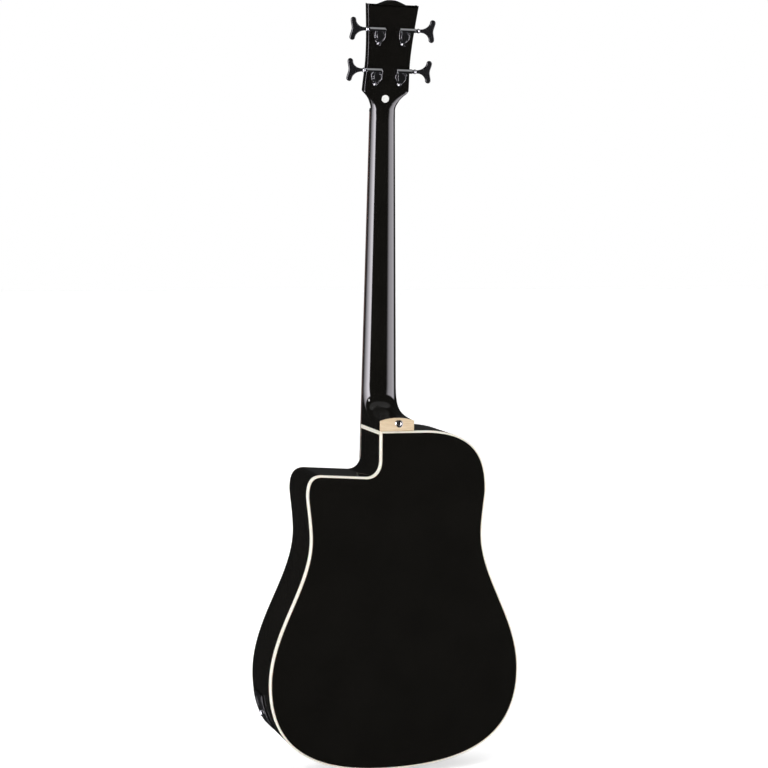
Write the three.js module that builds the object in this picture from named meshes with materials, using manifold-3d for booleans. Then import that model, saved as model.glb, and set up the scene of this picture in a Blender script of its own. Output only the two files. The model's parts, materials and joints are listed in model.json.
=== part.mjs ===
// An acoustic bass guitar with one cutaway, as the separate pieces that it is made of.
// Sizes are in millimetres. The origin is the middle of the nut's fretboard edge, on the glue line
// between neck and fretboard. X points to the treble side, Y to the back and Z to the headstock.
import * as THREE from 'three';
import { mergeVertices } from 'three/addons/utils/BufferGeometryUtils.js';
import Module from 'manifold-3d';

const wasm = await Module();
wasm.setup();

// Scale, neck and fretboard
const scaleLength = 863.6;
const nutWidth = 38;
const heelWidth = 55;
const neckDepthAtNut = 15;
const neckDepthAtHeel = 18;
const neckEdge = 1.2;
const boardThickness = 6.5;
const boardRadius = 400;
const fretMargin = 4;
const boardShares = [1, 0.5, 0, -0.5, -1];
const fretHeight = 1.1;
const fretWidth = 2.4;
const fretInset = 0.6;
const fretRoot = 0.5;
const nutThickness = 5;
const nutHeight = 10;
const nutStringMargin = 4.5;

// Body
const bodyLength = 517;
const lowerBoutWidth = 399;
const waistWidth = 274;
const upperBoutWidth = 285.8;
const depthAtHeel = 96.1;
const depthAtTail = 105.4;
const backRise = 4;
const topThickness = 2.8;
const backThickness = 2.6;
const sideThickness = 3;
const bindingWidth = 2.7;
const topBindingHeight = 2.2;
const backBindingHeight = 6.5;
const cornerStripHeight = 5.5;
const liningWidth = 6;
const liningHeight = 14;
const shoulderReach = 46;
const shoulderDrop = 0.8;
const shelfRise = 5;
const wallClearance = 1.2;
const cutawayCornerWidth = 21;
const hornWidth = 22;

// Clearances: between fixed pieces, and the overrun of every cut
const seam = 0.3;
const overrun = 4;

// Places as shares of the body's length, from its top edge. The bridge's puts that edge at the
// fourteenth fret.
const bridgePlaceShare = 0.7441;
const soundholePlaceShare = 0.3417;
const boutPlaceShares = { upper: 0.1822, waist: 0.3096, lower: 0.7268 };
// Down to the cutaway's shelf, and up again to where its corner meets the wall
const shelfPlaceShare = 0.1321;
const cornerHeightShare = 0.0484;
// How far each curve's handles reach, as shares of the run that they shape
const tailPullShares = [0.5, 0.84];
const lowerPullShares = [0.38, 0.33];
const waistPullShares = [0.37, 0.15];
const shoulderPullShares = [0.53, 0.82];
const shoulderSlopeShare = 0.044;
const hornPullShare = 0.7;
const cornerPullShare = 0.55;
const domeCentreShare = 0.5436;
const domeRingShares = [0.5, 0.8, 1];

// Heel, its cap and the strap buttons
const heelRun = 67;
const heelCentreHeight = 19.6;
const heelSideHeight = 15.3;
const heelButtonShare = 0.61;
const capThickness = 5;
// Roundness of the neck's back: along the shaft, and at the heel toward the body and toward the cap
const neckPower = 2.4;
const heelPower = 2;
const heelSharpness = 1.15;
const capWidth = 52.8;
const capShift = 2.2;
const tenonWidth = 30;
const tenonLength = 18;
const tenonMargin = 4;
// Along the heel's curves: pull of the start, then of the end in depth and in height
const heelCentrePullShares = [0.88, 0.72, 0.02];
const heelSidePullShares = [0.82, 0.82, 0.04];
const heelSteps = 12;
const heelTurnStep = 5;
const buttonRadius = 5.6;
const buttonHeight = 10;
const buttonScrewRadius = 1.8;
const buttonScrewLength = 16;
const tailButtonShare = 0.5;
// Up a strap button: share of its radius and of its height
const buttonShares = [[0.8, 0], [0.8, 0.12], [0.5, 0.3], [0.5, 0.6], [1, 0.78], [1, 1]];
const tailBlockHalf = 45;
const tailBlockHeight = 35;

// Headstock
const headTilt = THREE.MathUtils.degToRad(12.2);
const headThickness = 13.5;
const headLength = 163.4;
const headTopWidth = 80.4;
const headWaistWidth = 67.8;
const headFootWidth = 71;
const headFoot = 28;
const headWaist = 70;
const crestDip = 8;
const headSidePullShare = 0.33;
const headFlareShare = 0.1;
const headFlatShare = 0.3;
// Across the top edge: share of the half width, and share of the dip below the crest
const crestShares = [[1, 0.72], [0.87, 0.95], [0.72, 1], [0.55, 0.8], [0.37, 0.43], [0.2, 0.1], [0, 0]];
// Up the foot of the headstock: share of its height, share of the widening, and how square it is
const footShares = [
  [0, 0, 2.5],
  [0.3, 0.2, 3],
  [0.52, 0.35, 5],
  [0.74, 0.65, 8],
  [0.95, 0.99, 12],
  [1.1, 1, 12],
];
const labelRadius = 6;
const labelSides = 30;
const labelThickness = 0.4;
const labelPlace = 16.4;
const coverLength = 40;
const coverWidth = 24;
const coverTipWidth = 11;
const coverThickness = 2;
const coverStart = 3;

// Machine heads
const tunerSpread = 38.6;
const tunerNear = 50.1;
const tunerFar = 111.3;
const wormRise = 9.8;
const gearRatio = 20;
const housingRadius = 8.2;
const housingHeight = 9;
const housingFloor = 1.8;
const housingCapRadius = 4.6;
const housingCapHeight = 0.7;
const housingLugDrop = 11.6;
const housingLugRadius = 3;
const lugScrewRadius = 2.1;
const lugScrewHeight = 1.2;
const gearRadius = 6.7;
const gearThickness = 5;
const gearClearance = 0.4;
const wormRadius = 2.7;
const wormHalf = 5.4;
const barRadius = 2.9;
const chamberRadius = 3.7;
const barInner = 7.6;
const barOuter = 20;
const shaftRadius = 1.8;
const barrelRadius = 6.2;
const flangeRadius = 9;
const flangeThickness = 2.4;
const postRadius = 4.5;
const postWaistRadius = 3.9;
const postHeight = 22;
const postSlotWidth = 2.8;
const postSlotDepth = 8;
const stringOnPost = 11;
const keyCollarRadius = 3.5;
const keyCollarLength = 2.2;
const keyReach = 25.3;
const keyHeight = 34;
const keyThickness = 5;
const keyLobeRadius = 4;
const keyStemHalf = 2.3;
const keyStemShare = 0.06;
// How far the curve from stem to lobe is drawn: along the stem, then up to the lobe
const keySwellShares = [0.75, 0.25];
const keySwellSteps = 4;
const keyLobeSteps = 5;
const keyHollowShare = 0.1;

// Truss rod
const rodRadius = 3;
const rodCentre = 6.2;
const rodNutRadius = 3.5;
const rodNutLength = 10;
const rodMargin = 40;

// Soundhole, rosette and braces
const soundholeRadius = 50;
const soundholeGap = 6;
const rosetteGap = 4;
const rosetteWidth = 8;
const rosetteDepth = 1.2;
const braceWidth = 8;
const braceHeight = 15;
const backBraceWidth = 10;
const backBraceHeight = 12;
const crossAngle = THREE.MathUtils.degToRad(41);
const toneAngle = THREE.MathUtils.degToRad(8);
const toneLength = 300;
// Places as shares of the body's length, from its top edge. The tone bars' are shares of the way from
// the bridge plate to the tail block.
const transversePlaceShare = 0.187;
const crossPlaceShare = 0.4887;
const tonePlaceShares = [0, 0.9];
const backBracePlaceShares = [0.215, 0.42, 0.62, 0.82];

// Bridge, saddle, pins and strings
const bridgeLength = 150;
const bridgeWidth = 44;
const bridgeHeight = 9;
const bridgeTipShare = 0.55;
const bridgeBodyShare = 0.5;
const bridgeCentreDrop = 11.5;
const saddleSetback = 2.5;
const saddleWidth = 3.2;
const saddleLength = 84;
const saddleRise = 4.7;
const saddleSlotDepth = 6.5;
const pickupHeight = 1.2;
const pinSetback = 15.5;
const pinRadius = 2.7;
const pinHeadRadius = 4.2;
const pinHeadHeight = 3.6;
const pinLength = 22;
const pinTaperShare = 0.85;
const plateLength = 170;
const plateMargin = 3;
const plateThickness = 2.5;
const stringSpacing = 19;
const stringRadii = [0.65, 0.9, 1.1, 1.35];
const stringLift = 0.6;
const ballRadius = 2.7;

// Preamp on the bass side
const preampLength = 84;
const preampWidth = 46;
const preampThickness = 2.5;
const preampDepth = 32;
const preampMargin = 7;
const preampMiddleShare = 0.5;
const preampPlaceShare = 0.2341;
const knobRadius = 7.5;
const knobHeight = 9;
const knobGap = 0.9;
const knobShaftRadius = 2.5;
const knobShaftLength = 8;
const knobSpacing = 24;

// Jack and battery plate on the treble side
const jackPlateRise = 89.8;
const jackPlateLength = 51;
const jackPlateFront = 10;
const jackPlateWidth = 47;
const jackPlateThickness = 2.4;
const batteryLength = 48.5;
const batteryWidth = 26.5;
const batteryThickness = 17.5;
const batteryRise = 12.5;
const batteryDepth = 37.5;
const trayWall = 1.2;
const trayDoor = 6;
const jackDrop = 7;
const jackDepth = 30;
const jackBoreRadius = 3.3;
const jackTubeRadius = 4.5;
const jackNutRadius = 6;
const jackNutThickness = 1.6;
const jackTubeStandout = 1;
const jackBodyRadius = 5.8;
const jackBodyLength = 16;
const jackBodyGap = 1.6;
const jackFloor = 3;

// How finely round things are cut
const roundSides = 16;
const holeSides = 40;
const smallSides = 10;
const stringSides = 6;
const weldDistance = 0.0005;
const arcPoints = 13;
const quarterTurn = Math.PI / 2;

const fretsPerOctave = 12;
const fretPlace = (fret) => scaleLength * (1 - 2 ** (-fret / fretsPerOctave));
const bodyTop = bridgePlaceShare * bodyLength - scaleLength;
const bodyTail = bodyTop - bodyLength;
const wallX = heelWidth / 2 + wallClearance;
const railInset = Math.max(sideThickness, bindingWidth) + seam;
const liningInset = railInset + liningWidth;
const saddleZ = -scaleLength - saddleSetback;
const pinZ = saddleZ - pinSetback;
const heelFace = bodyTop + seam;
const heelEnd = depthAtHeel - capThickness;
const alongBody = (share) => bodyTop - share * bodyLength;
const soundholeZ = alongBody(soundholePlaceShare);
const rimDepth = (z) => depthAtHeel + (depthAtTail - depthAtHeel) * (bodyTop - z) / bodyLength;
const shallowest = (heights) => Math.min(...heights.map(rimDepth));
const neckHalf = (z) => (nutWidth + (heelWidth - nutWidth) * z / bodyTop) / 2;
const point = (x, z) => new THREE.Vector2(x, z);

// Turns a closed geometry into a solid, with its faces pointing out.
function solid(geometry) {
  const bare = new THREE.BufferGeometry();
  bare.setAttribute('position', geometry.attributes.position);
  bare.setIndex(geometry.index);
  const welded = mergeVertices(bare, weldDistance);
  const places = welded.attributes.position;
  const corner = [new THREE.Vector3(), new THREE.Vector3(), new THREE.Vector3()];
  const kept = [];
  let volume = 0;
  for (let i = 0; i < welded.index.count; i += 3) {
    const [a, b, c] = welded.index.array.slice(i, i + 3);
    if (a !== b && b !== c && c !== a) {
      kept.push([a, b, c]);
      [a, b, c].forEach((index, k) => corner[k].fromBufferAttribute(places, index));
      volume += corner[0].dot(corner[1].cross(corner[2]));
    }
  }
  const triVerts = new Uint32Array(kept.map((face) => (volume < 0 ? face.reverse() : face)).flat());
  return new wasm.Manifold(new wasm.Mesh({ numProp: 3, vertProperties: places.array, triVerts }));
}

// Turns a solid back into a geometry.
function toGeometry(body) {
  const mesh = body.getMesh();
  const geometry = new THREE.BufferGeometry();
  geometry.setAttribute('position', new THREE.BufferAttribute(mesh.vertProperties, 3));
  geometry.setIndex(new THREE.BufferAttribute(mesh.triVerts, 1));
  geometry.computeVertexNormals();
  return geometry;
}

// Joins rows of points, each a closed loop of the same count, into one solid. Open ends are fanned to
// their tips, or to the middle of the row.
function loft(rows, { closed = false, tips = [null, null], matrix = null } = {}) {
  const count = rows[0].length;
  const places = rows.flat();
  const faces = [];
  const spans = closed ? rows.length : rows.length - 1;
  for (let i = 0; i < spans; i += 1) {
    const row = i * count;
    const next = ((i + 1) % rows.length) * count;
    for (let j = 0; j < count; j += 1) {
      const k = (j + 1) % count;
      faces.push(row + j, next + j, next + k, row + j, next + k, row + k);
    }
  }
  if (!closed) {
    [rows[0], rows.at(-1)].forEach((row, end) => {
      const middle = row.reduce((sum, place) => sum.add(place), new THREE.Vector3()).divideScalar(count);
      const tip = places.length;
      places.push(tips[end] ?? middle);
      const start = end * (rows.length - 1) * count;
      for (let j = 0; j < count; j += 1) {
        const edge = [start + j, start + (j + 1) % count];
        faces.push(tip, ...(end ? edge.reverse() : edge));
      }
    });
  }
  const geometry = new THREE.BufferGeometry().setFromPoints(places);
  geometry.setIndex(faces);
  return solid(matrix ? geometry.applyMatrix4(matrix) : geometry);
}

// A flat shape drawn in X and Z, made solid from one depth to another.
function slab(shape, front, back, matrix = new THREE.Matrix4()) {
  const geometry = new THREE.ExtrudeGeometry(shape, { depth: back - front, bevelEnabled: false });
  return solid(geometry.rotateX(quarterTurn).translate(0, back, 0).applyMatrix4(matrix));
}

function box(x, y, z, matrix = new THREE.Matrix4()) {
  const geometry = new THREE.BoxGeometry(x[1] - x[0], y[1] - y[0], z[1] - z[0]);
  geometry.translate((x[0] + x[1]) / 2, (y[0] + y[1]) / 2, (z[0] + z[1]) / 2);
  return solid(geometry.applyMatrix4(matrix));
}

// A round bar along Y, or along X, from one place to another.
function roundY(x, z, radius, from, to, sides = roundSides, matrix = new THREE.Matrix4()) {
  const geometry = new THREE.CylinderGeometry(radius, radius, to - from, sides);
  return solid(geometry.translate(x, (from + to) / 2, z).applyMatrix4(matrix));
}

function roundX(y, z, radius, from, to, sides = roundSides, matrix = new THREE.Matrix4()) {
  const geometry = new THREE.CylinderGeometry(radius, radius, to - from, sides);
  geometry.rotateZ(quarterTurn).translate((from + to) / 2, y, z);
  return solid(geometry.applyMatrix4(matrix));
}

// A turned piece: pairs of radius and place along Y.
function turned(profile, sides = roundSides, matrix = new THREE.Matrix4()) {
  const outline = profile.map(([radius, place]) => point(radius, place));
  return solid(new THREE.LatheGeometry(outline, sides).applyMatrix4(matrix));
}

const joined = (solids) => solids.reduce((sum, next) => sum.add(next));

// A smooth run between two points, each with a pull that sets its direction.
function bend(start, startPull, end, endPull, steps) {
  const pulled = [start.clone().add(startPull), end.clone().add(endPull)];
  const curve = new THREE.CubicBezierCurve(start, ...pulled, end);
  return curve.getPoints(steps);
}

const chain = (...runs) => runs.flatMap((run, i) => (i ? run.slice(1) : run));
const mirrored = (run) => run.map((place) => point(-place.x, place.y)).reverse();

// One side of the body from the tail up to the upper bout.
function sideRun() {
  const tail = point(0, bodyTail);
  const lower = point(lowerBoutWidth / 2, alongBody(boutPlaceShares.lower));
  const waist = point(waistWidth / 2, alongBody(boutPlaceShares.waist));
  const upper = point(upperBoutWidth / 2, alongBody(boutPlaceShares.upper));
  const pull = (share, from, to) => point(0, share * (to.y - from.y));
  return chain(
    bend(tail, point(lower.x * tailPullShares[0], 0), lower, pull(tailPullShares[1], lower, tail), 10),
    bend(lower, pull(lowerPullShares[0], lower, waist), waist, pull(lowerPullShares[1], waist, lower), 8),
    bend(waist, pull(waistPullShares[0], waist, upper), upper, pull(waistPullShares[1], upper, waist), 5),
  );
}

// The bass shoulder, from the upper bout up to the neck block.
function shoulderRun(upper) {
  const shoulder = point(shoulderReach, bodyTop - shoulderDrop);
  const reach = shoulderPullShares[1] * (upper.x - shoulder.x);
  const rise = point(0, shoulderPullShares[0] * (shoulder.y - upper.y));
  return bend(upper, rise, shoulder, point(reach, -shoulderSlopeShare * reach), 9);
}

// The treble side's horn, the shelf and the wall of the cutaway.
function cutawayRun(upper) {
  const shelfFoot = alongBody(shelfPlaceShare);
  const cornerHeight = cornerHeightShare * bodyLength;
  const hornEnd = point(upper.x - hornWidth, shelfFoot + shelfRise);
  const cornerStart = point(wallX + cutawayCornerWidth, shelfFoot);
  const wallFoot = point(wallX, shelfFoot + cornerHeight);
  const hornRise = point(0, hornPullShare * (hornEnd.y - upper.y));
  const cornerPull = point(-cornerPullShare * cutawayCornerWidth, 0);
  const footPull = point(0, -cornerPullShare * cornerHeight);
  return chain(
    bend(upper, hornRise, hornEnd, point(hornPullShare * hornWidth, 0), 5),
    [hornEnd, cornerStart],
    bend(cornerStart, cornerPull, wallFoot, footPull, 5),
    [wallFoot, point(wallX, bodyTop)],
  );
}

// Moves a path inwards, to its left as it runs.
function inset(path, distance, closed) {
  const around = (i) => (closed ? path[(i + path.length) % path.length] : path[i]);
  const normal = (from, to) => point(from.y - to.y, to.x - from.x).normalize();
  return path.map((place, i) => {
    const before = around(i - 1);
    const after = around(i + 1);
    const first = before ? normal(before, place) : normal(place, after);
    const second = after ? normal(place, after) : first;
    const mitre = first.clone().add(second).divideScalar(1 + first.dot(second));
    return place.clone().addScaledVector(mitre, distance);
  });
}

// The body's outline, from the bass shoulder round the tail to the top of the cutaway's wall.
const rising = sideRun();
const upperBout = rising.at(-1);
const bassRun = chain(mirrored(shoulderRun(upperBout)), mirrored(rising));
const trebleRun = chain(rising, cutawayRun(upperBout));
const rim = chain(bassRun, trebleRun);
const wallFoot = rim.at(-2);
const wallTop = rim.at(-1);
const railPath = inset(rim, railInset, true);
const liningPath = inset(rim, liningInset, true);

// A wall between two matching paths, from one depth to another along it.
function wall(outer, inner, low, high, closed) {
  const rows = outer.map((place, i) => [
    new THREE.Vector3(place.x, low(place.y), place.y),
    new THREE.Vector3(place.x, high(place.y), place.y),
    new THREE.Vector3(inner[i].x, high(inner[i].y), inner[i].y),
    new THREE.Vector3(inner[i].x, low(inner[i].y), inner[i].y),
  ]);
  return loft(rows, { closed });
}

const inside = (distance) => slab(new THREE.Shape(inset(rim, distance, true)), 0, depthAtTail + backRise);

// The piece of a path between two heights, with new points at both ends.
function stretch(path, from, to) {
  const cut = (height) => {
    const i = path.findIndex((place, k) => k && (place.y - height) * (path[k - 1].y - height) <= 0);
    const share = (height - path[i - 1].y) / (path[i].y - path[i - 1].y);
    return path[i - 1].clone().lerp(path[i], share);
  };
  const within = path.filter((place) => (place.y - from) * (place.y - to) < 0);
  return [cut(from), ...within, cut(to)];
}

// A frame on a side of the body at one height and depth: X points out, and Z runs along the side.
function sideFrame(path, height, depth) {
  const [start, end] = stretch(path, height, height + seam);
  const outward = point(end.y - start.y, start.x - end.x).normalize();
  if (outward.x * start.x < 0) outward.negate();
  const basis = new THREE.Matrix4().makeBasis(
    new THREE.Vector3(outward.x, 0, outward.y),
    new THREE.Vector3(0, 1, 0),
    new THREE.Vector3(-outward.y, 0, outward.x),
  );
  return basis.setPosition(start.x, depth, start.y);
}

// The back's arch: its height above the rim, for a share of the way from the centre to the edge.
const domeCentre = point(0, alongBody(domeCentreShare));
const archAt = (share) => backRise * (1 - share * share);

function domeRow(path, share, drop) {
  return path.map((place) => {
    const spot = domeCentre.clone().lerp(place, share);
    return new THREE.Vector3(spot.x, rimDepth(spot.y) + archAt(share) - drop, spot.y);
  });
}

function backPlate() {
  const tip = (drop) => new THREE.Vector3(0, rimDepth(domeCentre.y) + backRise - drop, domeCentre.y);
  const rowsInside = domeRingShares.map((share) => domeRow(railPath, share, backThickness));
  const rowsOutside = domeRingShares.map((share) => domeRow(railPath, share, 0)).reverse();
  return loft([...rowsInside, ...rowsOutside], { tips: [tip(backThickness), tip(0)] });
}

// The wood that the arch leaves below the back plate, to cut the back braces from.
function underArch() {
  const floor = rimDepth(bodyTop) - backThickness - liningHeight - backBraceHeight;
  const path = inset(rim, liningInset + seam, true);
  const bottom = path.map((place) => new THREE.Vector3(place.x, floor, place.y));
  const middle = new THREE.Vector3(0, floor, domeCentre.y);
  const height = rimDepth(domeCentre.y) + backRise - backThickness - seam;
  const peak = new THREE.Vector3(0, height, domeCentre.y);
  const rows = domeRingShares.map((share) => domeRow(path, share, backThickness + seam)).reverse();
  return loft([bottom, ...rows], { tips: [middle, peak] });
}

function backBrace(height, wood) {
  const half = lowerBoutWidth / 2;
  const low = rimDepth(height) - backThickness - backBraceHeight;
  const along = [height - backBraceWidth / 2, height + backBraceWidth / 2];
  return box([-half, half], [low, depthAtTail + backRise], along).intersect(wood);
}

// The two sides meet at the tail and stop at the strip in the cutaway's corner.
const sideInner = inset(rim, sideThickness, true);
const tailIndex = bassRun.length - 1;
const tailButtonDepth = tailButtonShare * depthAtTail;
const heelButtonHeight = bodyTop + heelButtonShare * heelCentreHeight;
const toTail = new THREE.Matrix4().makeRotationX(-quarterTurn).setPosition(0, tailButtonDepth, bodyTail);

function side(outer, inner) {
  const front = () => topBindingHeight + seam;
  const back = (z) => rimDepth(z) - backBindingHeight - seam;
  const shell = wall(outer, inner, front, back, false);
  return shell.subtract(tailHole());
}

function tailHole() {
  return roundY(0, 0, buttonScrewRadius + seam, -buttonScrewLength - seam, overrun, smallSides, toTail);
}

function bassSide() {
  const share = (bindingWidth + seam) / wallTop.distanceTo(rim[0]);
  const start = wallTop.clone().lerp(rim[0], share);
  const outer = [start, ...rim.slice(0, tailIndex + 1)];
  const inner = [point(start.x, start.y - sideThickness), ...sideInner.slice(0, tailIndex + 1)];
  return side(outer, inner).subtract(mortise()).subtract(preampWindow());
}

function trebleSide() {
  const end = point(wallX, bodyTop - cornerStripHeight - seam);
  const outer = [...rim.slice(tailIndex, -1), end];
  const inner = [...sideInner.slice(tailIndex, -1), point(end.x - sideThickness, end.y)];
  return side(outer, inner).subtract(sleeve(seam)).subtract(jackHole());
}

// The binding is let into the edges; the back one carries the strip down the cutaway's corner.
const bindingInner = inset(rim, bindingWidth, true);

const topBinding = () => wall(rim, bindingInner, () => 0, () => topBindingHeight, true);

function backBinding() {
  const ring = wall(rim, bindingInner, (z) => rimDepth(z) - backBindingHeight, rimDepth, true);
  const depths = [topBindingHeight + seam, depthAtHeel - backBindingHeight + seam];
  return ring.add(box([wallX - bindingWidth, wallX], depths, [bodyTop - cornerStripHeight, bodyTop]));
}

function lining(low, high) {
  return wall(railPath.slice(0, -1), liningPath.slice(0, -1), low, high, false);
}

const topLining = () => lining(() => topThickness, () => topThickness + liningHeight);
const backLining = () => lining(
  (z) => rimDepth(z) - backThickness - liningHeight,
  (z) => rimDepth(z) - backThickness - seam,
);

// The neck's tenon, and the slot for it in the rim and the neck block.
function tenon(gap, top) {
  const margin = backBindingHeight + tenonMargin - gap;
  const depths = [margin, depthAtHeel - margin];
  const foot = bodyTop - railInset - tenonLength - gap;
  return box([-tenonWidth / 2 - gap, tenonWidth / 2 + gap], depths, [foot, top]);
}

const mortise = () => tenon(seam, bodyTop + overrun);

function neckBlock() {
  const across = [-shoulderReach + 2 * seam, wallX - railInset];
  const along = [wallFoot.y + 2 * seam, bodyTop - shoulderDrop - railInset];
  const depths = [topThickness, shallowest([along[0], bodyTop]) - backThickness - seam];
  return box(across, depths, along).subtract(mortise());
}

// The tail block reaches the rim between the linings, and stands inside them elsewhere.
function tailBlock() {
  const across = [-tailBlockHalf, tailBlockHalf];
  const along = [bodyTail, bodyTail + tailBlockHeight];
  const back = shallowest(along) - backThickness;
  const middle = box(across, [topThickness + liningHeight + seam, back - liningHeight - seam], along);
  const whole = box(across, [topThickness, back - seam], along);
  const block = middle.intersect(inside(railInset)).add(whole.intersect(inside(liningInset + seam)));
  return block.subtract(tailHole());
}

// Pins and strings pass through the bridge, the soundboard and the plate below it.
const stringCount = stringRadii.length;
const fromMiddle = (i) => (stringCount - 1) / 2 - i;
const thickest = Math.max(...stringRadii);
const stringDropZ = pinZ + pinHeadRadius + seam + thickest;
const nutSpacing = (nutWidth - 2 * nutStringMargin) / (stringCount - 1);

function pinCuts(front, back) {
  return joined(stringRadii.map((radius, i) => {
    const x = fromMiddle(i) * stringSpacing;
    const channel = [x - thickest - seam, x + thickest + seam];
    const along = [pinZ, stringDropZ + thickest + seam];
    const hole = roundY(x, pinZ, pinRadius + seam, front, back, smallSides);
    return hole.add(box(channel, [front, back], along));
  }));
}

function ring(inner, outer, front, back) {
  const disc = roundY(0, soundholeZ, outer, front, back, holeSides);
  return disc.subtract(roundY(0, soundholeZ, inner, front - overrun, back + overrun, holeSides));
}

const rosetteInner = soundholeRadius + rosetteGap;
const rosette = () => ring(rosetteInner, rosetteInner + rosetteWidth, 0, rosetteDepth);

function soundboard() {
  const recess = ring(rosetteInner - seam, rosetteInner + rosetteWidth + seam, -overrun, rosetteDepth);
  const hole = roundY(0, soundholeZ, soundholeRadius, -overrun, topThickness + overrun, holeSides);
  const cuts = recess.add(hole).add(pinCuts(-overrun, topThickness + overrun));
  return slab(new THREE.Shape(railPath), 0, topThickness).subtract(cuts);
}

// A brace under the soundboard, turned about Y and kept clear of the linings.
function topBrace(height, angle, length = bodyLength) {
  const turn = new THREE.Matrix4().makeRotationY(angle).setPosition(0, 0, height);
  const across = [-length / 2, length / 2];
  const depths = [topThickness, topThickness + braceHeight];
  const bar = box(across, depths, [-braceWidth / 2, braceWidth / 2], turn);
  return bar.intersect(inside(liningInset + seam));
}

const braceCross = alongBody(crossPlaceShare);
const crossBrace = () => topBrace(braceCross, crossAngle).add(topBrace(braceCross, -crossAngle));

const bridgeZ = -scaleLength - bridgeCentreDrop;
const plateHalf = bridgeWidth / 2 + plateMargin;

function bridgePlate() {
  const back = topThickness + plateThickness;
  const heights = [bridgeZ - plateHalf, bridgeZ + plateHalf];
  const blank = box([-plateLength / 2, plateLength / 2], [topThickness, back], heights);
  return blank.subtract(pinCuts(-overrun, back + overrun));
}

// The slanting tone bars keep clear of what lies above and below them, over its half width.
function toneBar(share) {
  const reach = (half) => half * Math.tan(toneAngle) + braceWidth / 2 / Math.cos(toneAngle) + seam;
  const first = bridgeZ - plateHalf - reach(plateLength / 2);
  const last = bodyTail + tailBlockHeight + reach(tailBlockHalf);
  return topBrace(THREE.MathUtils.lerp(first, last, share), toneAngle, toneLength);
}

// Bridge, saddle and what lies in its slot
function bridge() {
  const tip = point(bridgeLength / 2, bridgeTipShare * bridgeWidth / 2);
  const body = point(bridgeBodyShare * tip.x, bridgeWidth / 2);
  const pull = (tip.x - body.x) / 2;
  const quarter = bend(tip, point(-pull, 0), body, point(pull, 0), 4);
  const upper = chain(quarter, [body, point(-body.x, body.y)], mirrored(quarter));
  const lower = upper.map((place) => place.clone().negate());
  const middle = new THREE.Matrix4().makeTranslation(0, 0, bridgeZ);
  const blank = slab(new THREE.Shape([...upper, ...lower]), -bridgeHeight, 0, middle);
  const slot = saddleBar(seam, -bridgeHeight - overrun, saddleSlotDepth - bridgeHeight);
  return blank.subtract(slot).subtract(pinCuts(-bridgeHeight - overrun, overrun));
}

function saddleBar(gap, front, back) {
  const half = saddleLength / 2 + gap;
  const along = [saddleZ - saddleWidth / 2 - gap, saddleZ + saddleWidth / 2 + gap];
  return box([-half, half], [front, back], along);
}

const slotFloor = saddleSlotDepth - bridgeHeight;
const saddle = () => saddleBar(0, -bridgeHeight - saddleRise, slotFloor - pickupHeight);
const saddlePickup = () => saddleBar(0, slotFloor - pickupHeight, slotFloor);

function bridgePin(i) {
  const seat = -bridgeHeight - seam;
  const profile = [
    [0, seat - pinHeadHeight],
    [pinHeadRadius / 2, seat - pinHeadHeight],
    [pinHeadRadius, seat - pinHeadHeight / 2],
    [pinHeadRadius, seat],
    [pinRadius, seat],
    [pinRadius * pinTaperShare, seat + pinLength],
    [0, seat + pinLength],
  ];
  const shift = new THREE.Matrix4().makeTranslation(fromMiddle(i) * stringSpacing, 0, pinZ);
  return turned(profile, smallSides, shift);
}

// The headstock's own frame: X across, Y from its front face to its back, Z up along it.
const headFrame = new THREE.Matrix4().makeRotationX(-headTilt).setPosition(0, 0, nutThickness);
const tuners = [[1, tunerNear], [1, tunerFar], [-1, tunerFar], [-1, tunerNear]];

function headShape() {
  const foot = point(headFootWidth / 2, headFoot);
  const waist = point(headWaistWidth / 2, headWaist);
  const crest = crestShares.map(([across, dip]) => (
    point(across * headTopWidth / 2, headLength - dip * crestDip)
  ));
  const lowPull = headSidePullShare * (waist.y - foot.y);
  const highPull = headSidePullShare * (crest[0].y - waist.y);
  const edge = chain(
    bend(foot, point(0, lowPull), waist, point(0, -lowPull), 4),
    bend(waist, point(0, highPull), crest[0], point(-headFlareShare * highPull, -highPull), 5),
    crest,
  );
  return new THREE.Shape(chain(edge, mirrored(edge)));
}

// One row round the neck: base line, straight sides and rounded back. Places are depth and height.
function neckRow(base, edge, back, baseHalf, edgeHalf, power, sharpness, baseShift = 0, edgeShift = 0) {
  const arc = Array.from({ length: arcPoints }, (_, i) => {
    const across = Math.cos(Math.PI * i / (arcPoints - 1));
    const place = edge.clone().lerp(back, (1 - Math.abs(across) ** power) ** (1 / sharpness));
    return new THREE.Vector3(edgeShift + edgeHalf * across, place.x, place.y);
  });
  const start = new THREE.Vector3(baseShift + baseHalf, base.x, base.y);
  const end = new THREE.Vector3(baseShift - baseHalf, base.x, base.y);
  return [start, ...arc, end];
}

function footRows() {
  return footShares.map(([rise, widening, power]) => {
    const height = rise * headFoot;
    const half = (nutWidth + widening * (headFootWidth - nutWidth)) / 2;
    const depth = THREE.MathUtils.lerp(neckDepthAtNut, headThickness, Math.min(rise / headFlatShare, 1));
    const [base, edge, back] = [0, neckEdge, depth].map((y) => point(y, height));
    const row = neckRow(base, edge, back, half, half, power, power);
    return row.map((place) => place.applyMatrix4(headFrame));
  }).reverse();
}

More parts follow.
